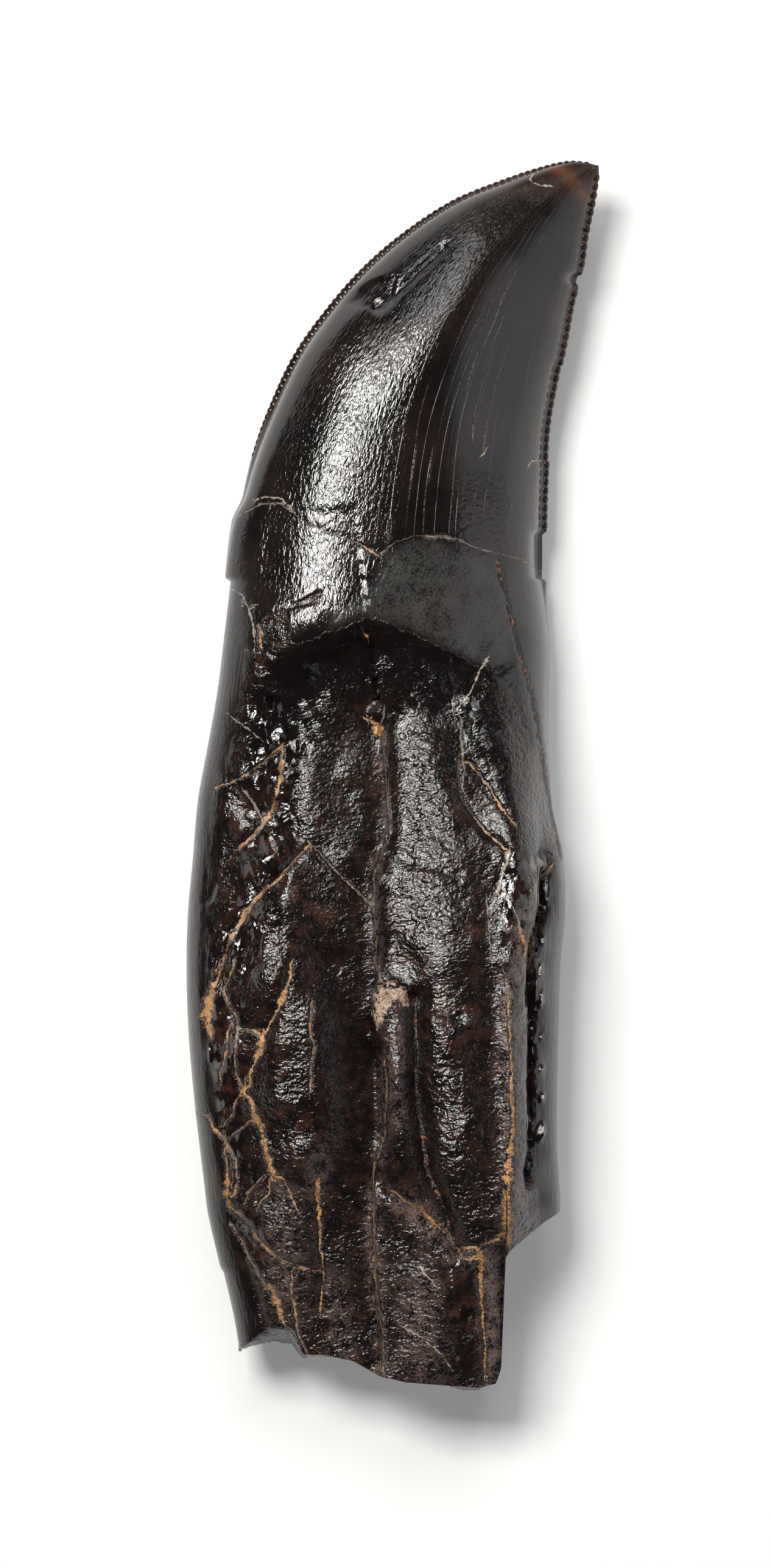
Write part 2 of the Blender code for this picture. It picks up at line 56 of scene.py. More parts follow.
# From the broken end to the tip: x and y of the front edge, x and y of the rear edge, the height
# above and the depth below the middle, and z of the front edge and of the rear edge.
STATIONS = np.array(
    [
        (-9.3, -38.4, 9.7, -38.4, 3.6, 4.3, 4.3, 4.3),
        (-9.9, -34.3, 9.8, -34.3, 4.2, 4.75, 4.55, 4.5),
        (-10.7, -30.7, 10.1, -30.7, 4.8, 5.1, 4.85, 4.8),
        (-11.5, -27.1, 10.4, -27.1, 5.4, 5.45, 5.15, 5.1),
        (-12.0, -23.3, 10.2, -23.3, 5.95, 5.75, 5.45, 5.4),
        (-12.4, -19.6, 10.2, -19.6, 6.45, 6.05, 5.75, 5.4),
        (-12.7, -15.8, 10.3, -15.8, 6.8, 6.25, 5.95, 5.3),
        (-12.8, -12.0, 10.4, -12.0, 7.0, 6.4, 6.1, 5.2),
        (-12.7, -8.6, 10.7, -8.6, 7.1, 6.5, 6.15, 5.0),
        (-12.4, -5.3, 10.6, -5.3, 7.1, 6.55, 6.15, 4.6),
        (-12.1, -1.8, 9.9, -2.1, 7.0, 6.6, 6.15, 4.4),
        (-11.5, 1.5, 9.7, 1.5, 6.85, 6.6, 6.15, 4.0),
        (-10.9, 4.9, 9.7, 4.7, 6.7, 6.55, 6.15, 3.2),
        (-10.5, 8.1, 9.8, 7.7, 6.55, 6.45, 6.15, 2.5),
        (-10.1, 11.5, 9.6, 10.9, 6.45, 6.15, 6.13, 2.5),
        (-9.8, 14.5, 9.6, 13.4, 6.3, 5.8, 6.08, 2.9),
        (-9.3, 17.3, 9.6, 16.0, 6.1, 5.45, 6.0, 3.3),
        (-8.7, 19.8, 9.7, 18.8, 5.9, 5.1, 5.88, 3.4),
        (-7.7, 22.6, 9.9, 21.7, 5.5, 4.8, 5.75, 3.6),
        (-6.2, 25.8, 10.4, 24.5, 5.0, 4.3, 5.63, 3.8),
        (-4.25, 28.6, 10.9, 27.0, 4.4, 3.8, 5.5, 4.0),
        (-1.95, 31.25, 11.3, 29.2, 3.7, 3.2, 5.38, 4.1),
        (0.65, 33.5, 11.85, 31.3, 2.95, 2.6, 5.28, 4.3),
        (3.7, 35.5, 12.15, 33.4, 2.15, 1.95, 5.2, 4.45),
        (6.85, 36.8, 12.5, 35.1, 1.4, 1.3, 5.15, 4.6),
        (9.25, 37.6, 12.7, 36.3, 0.8, 0.8, 5.12, 4.8),
        (10.9, 37.95, 12.8, 37.05, 0.42, 0.42, 5.1, 5.0),
        (12.1, 37.88, 12.8, 37.4, 0.2, 0.2, 5.1, 5.1),
    ]
)
TIP = (12.8, 37.7, 5.1)
REAR_SAG = 2.0  # power of the share at which the middle goes from the front z to the rear z
ROW_LINE = 4.0  # station where the rows that follow the break end
CROWN_STARTS = (13.0, 18.5)  # stations between which the section turns from root to crown
REAR_BLADE_STARTS = (12.5, 15.0)
# The fracture round the crown's base, above which the surface stands a little higher.
CROWN_BASE = [
    (-10.6, 14.6), (-9.7, 15.7), (-8.2, 16.5), (-6.9, 16.5), (-5.2, 15.2), (-2.1, 14.0),
    (-0.9, 13.3), (0.0, 14.0), (1.3, 14.5), (3.5, 14.4), (5.5, 13.7), (7.8, 13.2), (10.3, 12.0),
]
CROWN_BASE_STATIONS = (12.0, 20.0)  # between which it runs
CROWN_BASE_STEP = 0.03  # less than the part's
CROWN_STEP_FADE = (14.0, 19.0)
# The broken end, as the edge of the upper face and of the lower one.
BREAK_UPPER = [
    (-11.0, -34.9), (-9.5, -35.7), (-8.8, -35.3), (-6.4, -34.8), (-5.6, -36.1), (-4.4, -36.1),
    (-2.5, -36.5), (-0.9, -37.4), (0.9, -37.8), (3.4, -38.0), (5.4, -38.15), (6.4, -37.9),
    (6.7, -36.9), (6.75, -30.4), (7.2, -29.6), (8.5, -28.5), (9.5, -27.8), (11.0, -27.0),
]
BREAK_LOWER = [
    (-11.0, -34.2), (-9.6, -35.5), (-7.5, -35.2), (-5.4, -35.8), (-3.0, -35.1), (-0.5, -36.3),
    (2.0, -36.6), (4.0, -37.4), (5.8, -37.1), (6.7, -35.8), (6.75, -31.0), (7.4, -29.4),
    (9.0, -28.6), (11.0, -26.6),
]
END_BULGE = 0.5
PULP_CENTRE = (-0.9, 4.2)
PULP_HALF_SIZE = (4.6, 1.4)
PULP_DEPTH = 3.4
PULP_RAGGEDNESS = 0.12
END_ROUGHNESS = 0.28
WALL_ROUGHNESS = 0.25
END_WALL = (5.2, 6.6)  # x where the end turns up into the wall of the missing corner
WALL_SHARE = 0.84
# Chips and swellings of the edges, near the part's: lowest and highest y, how far out, and how
# softly they end.
FRONT_EDGE_CHANGES = [(11.9, 16.3, 0.38, 0.9), (-30.9, -26.5, 0.06, 1.2), (-36.0, -30.9, -0.08, 0.12)]
REAR_EDGE_CHANGES = [(30.3, 30.9, -0.26, 0.12), (19.3, 25.4, -0.1, 0.2), (12.0, 14.9, -0.28, 0.12)]
EDGE_STEP = 0.12
CHIP_REACH = 0.6
# The section's rounding, fuller than the part's: place of its crest, and how full it is in front,
# behind and on top. Each is given for the root, with what the crown adds to it.
CREST = (0.51, -0.08)
FRONT_ROUND = (3.6, -1.75)
REAR_ROUND = (2.4, -1.05)
FLATNESS = (2.3, -0.3)
RELIEF_FADES = (0.12, 0.07)  # shares of the width over which relief fades at the two edges
LEAST_RISE = 0.3  # share of the smooth height that grooves leave

# How finely the visible mesh is built.
TOP_COLUMNS = 144
UNDER_COLUMNS = 72
BREAK_ROWS = 44
ROOT_ROWS = 204
CROWN_ROWS = 140
END_LEVELS = 24
OUTLINE_SAMPLES = 400
EDGE_SAMPLES = 4000
SHARPEST_SMOOTH_EDGE = 55.0  # degrees

# Serrations: pitch, how far they stand out of the edge, and the heights that they run between.
REAR_SERRATIONS = (0.54, 0.07, 15.1, 37.4)
FRONT_SERRATIONS = (0.42, 0.07, 19.5, 38.1)
SERRATION_DEPTH_IN = 0.42  # how far each reaches into the blade
SERRATION_FILL = 0.84  # share of the pitch that each takes
SERRATION_HALF_HEIGHT = 0.33
SERRATION_TAPER = 0.62
SERRATION_BOXINESS = 0.55  # power that squares it off, where 1 leaves it round
SERRATION_ROUND = (10, 6)  # facets round it and from foot to top
SERRATION_SIZE = (0.45, 0.5)  # of the smallest, and what full growth adds to it
SERRATION_VARIETY = 0.12
FRONT_GROWTH = (-0.5, 8.0)  # millimetres along the front edge over which they grow
SERRATIONS_START = 14.0  # station
NOTCH_MARGIN = 0.2

# Ridges and grooves of the upper face, near the part's own: points, half width and height.
UPPER_FORMS = [
    ([(-8.3, 8.5, 0.0), (-8.3, 11.0, 0.7), (-8.1, 14.5, 1.0), (-7.4, 17.9, 1.0), (-6.4, 21.9, 0.7),
        (-4.8, 25.0, 0.3), (-3.8, 27.0, 0.0)], 2.4, -0.47),
    ([(-0.5, 21.0, 0.0), (1.8, 24.5, 0.5), (3.0, 27.0, 0.9), (4.4, 30.0, 1.0), (5.6, 32.8, 0.8),
        (8.2, 35.6, 0.2)], 2.4, 0.6),
    ([(5.0, 5.0, 0.0), (5.2, 0.0, 0.33), (5.2, -4.0, 0.6), (5.0, -7.0, 0.8), (4.8, -12.3, 1.15),
        (4.6, -18.0, 1.3), (4.6, -23.7, 1.6), (4.9, -28.5, 1.5), (4.9, -33.0, 1.0)], 3.3, 1.0),
    ([(-0.1, 3.0), (0.2, -3.3), (-0.3, -6.4), (-0.2, -11.5)], 1.5, -0.45),
    ([(7.2, 2.0, 0.0), (7.6, -3.0, 0.7), (8.0, -6.5, 1.0), (7.8, -12.0, 1.0), (7.8, -20.0, 1.0),
        (7.6, -27.0, 0.9)], 1.5, 1.4),
    ([(-0.2, -13.4, 0.6), (0.0, -15.5, 0.8), (0.25, -19.0, 1.2)], 1.0, 0.45),
    ([(0.3, -19.0), (0.3, -23.5), (-0.2, -27.0)], 0.7, 0.4),
    ([(-1.3, -16.0), (-1.1, -19.0), (-1.2, -22.5)], 0.45, -0.35),
    ([(-0.7, 2.8), (-0.3, -3.3), (-1.1, -6.4), (-1.1, -12.2)], 0.5, 0.3),
    ([(-8.4, -1.5, 0.0), (-7.8, -5.5, 0.5), (-7.2, -9.7, 1.0), (-7.0, -13.9, 1.1), (-6.4, -18.0, 1.0),
        (-6.0, -21.8, 0.9), (-6.0, -25.9, 0.7), (-6.8, -31.2, 0.5)], 2.3, 0.65),
    ([(-6.0, 8.0), (-4.6, 8.6), (-3.0, 9.1)], 3.0, 0.6),
    ([(-5.0, -12.0, 0.0), (-4.6, -15.0, 1.0), (-4.3, -19.0, 1.0), (-4.4, -23.0, 0.5)], 1.5, 0.6),
    ([(-4.0, 0.9), (-3.3, -6.7), (-3.3, -16.1), (-2.7, -25.6), (-2.1, -33.1)], 2.2, -0.2),
    ([(1.4, -13.9), (1.4, -19.4), (1.7, -21.6), (2.1, -24.4), (2.9, -26.3), (3.9, -29.4)], 0.55, -0.85),
    ([(7.1, -13.9), (7.3, -20.3), (7.2, -23.7), (7.1, -29.0)], 0.5, 0.3),
    ([(-3.2, 29.2), (-1.6, 29.8), (-0.9, 28.9)], 0.9, -0.3),
    ([(-0.9, 28.6), (0.3, 29.6), (1.4, 30.7), (3.1, 32.3)], 0.35, -0.3),
]
# Finer ones, which only the visible mesh has.
FINE_FORMS = [
    # the groove between the smooth front margin and the cracked part of the root
    ([(-10.3, 11.4), (-10.8, 6.6), (-11.0, 2.8), (-11.3, -1.0), (-11.5, -4.8), (-11.6, -8.6),
        (-11.7, -12.3), (-11.5, -16.1), (-11.2, -19.9), (-10.7, -22.5), (-9.9, -27.1), (-9.3, -29.7),
        (-8.5, -32.4), (-7.8, -34.6)], 0.3, -0.22),
    # the deepest part of the hollow under the broken enamel
    ([(-4.5, 6.6), (-1.7, 7.6), (0.8, 7.6), (3.2, 6.4), (5.2, 5.0)], 1.1, -0.35),
    # grooves along the wide cracks of the front lobe
    ([(-5.2, -4.5), (-7.0, -6.6), (-8.1, -7.4), (-9.1, -8.8), (-10.2, -11.1), (-10.9, -13.1)],
        0.22, -0.2),
    ([(-9.3, -19.7), (-8.5, -21.1), (-7.9, -22.9), (-7.3, -24.9)], 0.25, 0.12),
    ([(-6.2, -11.6), (-6.8, -13.9), (-7.5, -15.4), (-7.9, -16.2)], 0.3, -0.18),
    ([(-4.6, -24.0), (-4.6, -27.0), (-4.4, -31.0), (-4.5, -33.5)], 0.3, -0.15),
    ([(5.2, -29.4), (5.4, -31.6), (5.6, -35.0), (5.7, -37.6)], 0.25, -0.15),
    ([(4.6, 0.6), (6.7, -2.3), (7.5, -3.3)], 0.2, -0.12),
    ([(4.0, -1.5), (5.7, -3.7), (7.1, -4.9), (6.3, -7.4)], 0.25, -0.18),
    ([(-0.6, 1.4), (-0.2, -3.3), (-0.7, -5.1), (-1.2, -7.5)], 0.18, -0.15),
    # low swellings that catch the light
    ([(2.6, 1.5), (3.2, -2.5)], 1.2, 0.18),
    ([(-7.6, -17.5), (-7.2, -20.0)], 0.8, 0.2),
    ([(-7.9, -9.0), (-8.0, -12.5)], 0.8, 0.25),
    ([(-7.7, -5.2), (-7.5, -6.3)], 0.6, 0.3),
]
# Knobs of the front lobe: x, y, radius and height.
KNOBS = [
    (-7.2, -8.6, 1.4, 0.25), (-7.2, -12.4, 1.5, 0.3),
    (-7.0, -16.4, 1.2, 0.25), (-6.6, -20.0, 1.3, 0.3), (-6.2, -23.8, 1.4, 0.3),
    (-8.9, -23.6, 0.9, 0.2), (-6.0, -28.6, 1.3, 0.2), (-9.3, -3.2, 0.8, 0.3),
    (-8.3, -1.2, 0.8, 0.25), (-9.9, -17.2, 0.7, 0.2), (3.0, -16.0, 1.6, 0.2),
    (4.8, -21.5, 1.8, 0.22), (3.2, -33.0, 2.4, 0.3), (-3.0, -30.5, 1.6, 0.25),
    (7.6, -8.0, 1.0, 0.2), (7.4, -11.5, 0.9, 0.25), (8.2, -25.5, 1.1, 0.25),
]
# Rounded bodies with a firm outline: points, half width and height.
DOMES = [
    # the finger in the middle of the root
    ([(0.0, -14.0), (0.05, -15.5), (0.25, -17.6)], 1.2, 0.5),
    # blocks of the cracked front lobe
    ([(-7.2, -4.2), (-7.1, -5.3)], 1.0, 0.5),
    ([(-8.6, -5.6), (-8.2, -6.5)], 0.8, 0.3),
]
# Ledges: points, height and how far back the raised side, on the left of the path, reaches.
LEDGES = [
    # the front half of the root falls towards the line down its middle
    ([(-0.6, -37.5), (-1.1, -31.0), (-1.2, -24.4), (-0.5, -22.4), (-0.6, -18.5), (-1.35, -16.5),
        (-1.3, -14.5), (-1.0, -12.0), (-1.1, -8.0), (-0.4, -3.3), (-0.5, 0.0), (-0.9, 3.6)], -1.1, 4.2),
    ([(4.8, -30.2), (3.9, -29.4), (2.9, -28.1), (2.3, -27.6), (1.7, -26.8), (0.9, -26.6), (0.0, -25.8),
        (-0.6, -24.9), (-1.2, -24.0)], -0.4, 1.6),
    ([(0.9, -13.6), (1.9, -14.6), (2.7, -14.9), (3.7, -15.3), (4.7, -15.4)], -0.3, 1.5),
    ([(0.0, -5.6), (2.0, -6.0), (4.5, -6.7)], -0.22, 1.3),
    ([(-7.7, 3.5), (-7.5, 1.6), (-7.6, -1.0), (-6.7, -3.6), (-5.4, -4.8)], -0.35, 1.2),
    ([(-9.5, -4.6), (-8.4, -6.7), (-7.3, -7.9)], 0.3, 0.9),
    ([(-11.0, -1.0), (-9.5, -0.5), (-8.1, 0.4), (-6.8, 1.6)], 0.25, 1.1),
    ([(-12.2, -21.1), (-11.4, -21.2), (-11.1, -22.0), (-10.4, -22.7)], -0.18, 0.9),
    ([(-10.2, -26.8), (-8.8, -28.0), (-7.3, -29.9), (-4.5, -30.8)], 0.22, 1.2),
    ([(9.0, -6.6), (9.4, -6.0), (10.4, -5.4)], -0.2, 0.6),
    # the glossy groove inside the rear edge
    ([(9.0, -5.6), (9.0, -8.2), (8.3, -10.6), (8.15, -12.3), (8.3, -15.6), (8.25, -18.1), (8.3, -20.4),
        (8.3, -23.2), (8.0, -24.7), (8.2, -26.2)], -2.3, 0.95),
    ([(-9.4, -33.0), (-8.9, -34.6)], 0.1, 0.5),
]
# Where the surface is broken into small flat facets: points, half width and height.
SHATTERED = [
    ([(-7.6, 3.2), (-7.4, -1.5), (-7.4, -5.0), (-8.6, -8.5), (-9.8, -12.0)], 1.5, 0.34),
    ([(-10.0, -14.5), (-10.4, -19.0), (-9.6, -24.0), (-8.6, -29.5)], 0.9, 0.2),
    ([(9.4, -5.4), (9.1, -8.6), (8.6, -12.0), (8.8, -17.0), (8.9, -22.5)], 0.8, 0.34),
    ([(-10.6, 0.0), (-11.4, -5.0), (-11.6, -11.0), (-11.3, -17.0)], 0.6, 0.34),
    ([(7.6, -6.0), (7.6, -9.5), (8.0, -12.0)], 1.1, 0.22),
    ([(-0.8, -24.6), (1.0, -26.2), (3.2, -28.2)], 1.0, 0.2),
    ([(3.6, -30.5), (4.2, -33.0), (4.6, -36.6)], 1.0, 0.16),
]
# Small wet faces that all tilt the same way and flash: x, y and half sizes.
FLATS = [
    (9.45, -7.4, 0.26, 0.9), (9.2, -10.4, 0.16, 0.5), (9.05, -12.2, 0.2, 0.5),
    (9.1, -14.0, 0.16, 0.6), (9.1, -16.4, 0.14, 0.3), (9.1, -18.3, 0.18, 0.25),
    (9.15, -20.1, 0.26, 0.3), (9.1, -22.2, 0.32, 0.6), (-8.4, -4.4, 0.25, 0.5),
    (-7.9, -5.6, 0.35, 0.4), (-10.4, -10.6, 0.14, 0.5), (-6.9, -2.6, 0.25, 0.3),
    (-9.3, -3.6, 0.3, 0.25), (-10.9, -12.0, 0.13, 0.5), (-11.3, -17.2, 0.12, 0.6),
]
FLAT_SLOPE = (0.16, -0.2)
# The arch of the broken enamel, under which the hollow lies. It is near the part's, and deeper.
ARCH = [
    (-12.5, -3.0), (-9.1, 1.3), (-8.8, 4.7), (-8.2, 6.6), (-6.6, 7.6), (-4.6, 8.3), (-3.0, 8.9),
    (-1.7, 9.4), (-0.2, 9.1), (0.9, 8.6), (2.2, 8.0), (3.9, 7.2), (5.4, 6.2), (6.4, 3.9),
    (7.1, 0.5), (8.4, -5.0), (9.2, -12.0),
]
ARCH_DROP = 1.15
ARCH_WIDTH = 4.0  # of the slope down from it
ARCH_SLOPE = (-0.08, 0.9)  # where that starts and ends, as shares of its width
ARCH_FADE = (-14.0, 4.0)  # y between which the drop grows
ARCH_CALM = 0.5  # how much smoother the root is under it
# The lower edge of what is left of the enamel, from front to rear.
ENAMEL_EDGE = [
    (-14.0, 9.0), (-10.8, 8.6), (-9.2, 7.6), (-8.4, 7.2), (-8.0, 9.3), (-6.6, 10.0),
    (-6.2, 7.8), (-5.0, 8.0), (-4.2, 8.5), (-3.1, 8.8), (-1.9, 9.4), (-0.8, 9.3),
    (0.5, 8.8), (2.0, 8.1), (4.1, 7.1), (5.2, 6.4), (5.9, 5.6), (7.0, 5.2), (8.0, 4.0),
    (8.8, 0.5), (9.3, -1.5), (14.0, -2.5),
]
# The same on the hidden face.
UNDER_ENAMEL_EDGE = [
    (-14.0, 9.4), (-9.5, 9.0), (-6.0, 7.6), (-2.0, 8.6), (2.5, 7.4), (6.0, 8.4), (8.2, 5.5),
    (9.2, 1.5), (14.0, -2.5),
]
ENAMEL_THICKNESS = 0.12
ENAMEL_LIP = ((-2.0, 4.0), (11.0, 18.0))  # y between which the lip grows, and fades into the crown
# The flake scar on the crown, with its fine hatching.
FLAKE = [
    (-3.6, 29.0), (-2.5, 30.0), (-0.9, 30.6), (0.5, 30.7), (0.2, 29.6), (-0.9, 28.4),
    (-2.1, 28.5),
]
FLAKE_DEPTH = 0.2
HATCH = (0.05, 0.4, 0.22)  # height, pitch and slant
# The firm smooth enamel by the rear edge.
SMOOTH_ENAMEL = [
    (2.6, 12.5), (3.6, 12.9), (6.3, 13.2), (8.8, 12.9), (12.0, 12.0), (12.0, -1.0),
    (9.4, -0.6), (9.0, 2.7), (8.4, 5.5), (7.5, 7.8), (5.3, 6.7), (4.1, 8.8),
]
# The dull grey patch on the enamel above the hollow.
GREY_PATCH = [
    (-0.8, 13.4), (1.0, 14.3), (2.8, 14.4), (6.6, 12.9), (7.6, 10.0), (7.4, 7.0), (5.2, 6.4),
    (3.6, 7.1), (0.9, 8.6), (-1.7, 9.3), (-4.2, 8.5), (-3.6, 9.9), (-1.9, 10.8), (-1.2, 11.8),
]
# The smooth fracture face at the front of the broken end.
END_FACET = [
    (-9.8, -36.4), (-9.4, -35.6), (-8.4, -34.8), (-7.0, -34.4), (-6.2, -34.3), (-5.5, -36.2),
    (-5.5, -37.0),
]
END_FACET_SLOPE = 1.6
END_FACET_REACH = 2.0
# Lumps of the root's two faces: height, size and seed.
UPPER_LUMPS = [(0.12, 2.6, 1), (0.08, 1.3, 2)]
LOWER_LUMPS = [(0.14, 2.8, 5), (0.07, 1.4, 6)]
ROOT_ENDS = (8.0, 15.0)  # y between which they fade out
# The root's leathery skin, which is rougher near the broken end.
HIDE_HEIGHT = 0.06
LOW_HIDE_HEIGHT = 0.05
LOW_ROOT = (-30.0, -22.0)
HIDE_ENDS = (7.0, 11.0)

# Ridges and grooves of the hidden face, as in the part.
LOWER_FORMS = [
    ([(-0.5, 6.5), (-1.0, 0.0), (-0.5, -6.0)], 2.2, -0.5),
    ([(7.6, 4.0), (7.9, -6.0), (7.4, -18.0), (7.0, -28.0)], 0.7, -0.55),
    ([(-8.6, 2.0), (-9.0, -10.0), (-8.2, -22.0), (-7.4, -30.0)], 0.8, -0.5),
    ([(4.4, 4.0), (4.9, -8.0), (4.6, -20.0)], 1.5, 0.35),
]
LOWER_LEDGES = [
    ([(-9.5, 9.0), (-6.0, 7.6), (-2.0, 8.6), (2.5, 7.4), (6.0, 8.4), (9.6, 6.6)], 0.2, 1.4),
    ([(-11.0, -14.0), (-8.8, -17.0), (-6.4, -17.8), (-4.4, -20.5)], 0.22, 1.2),
    ([(3.0, -24.0), (5.4, -26.0), (8.6, -25.2)], 0.2, 1.0),
]

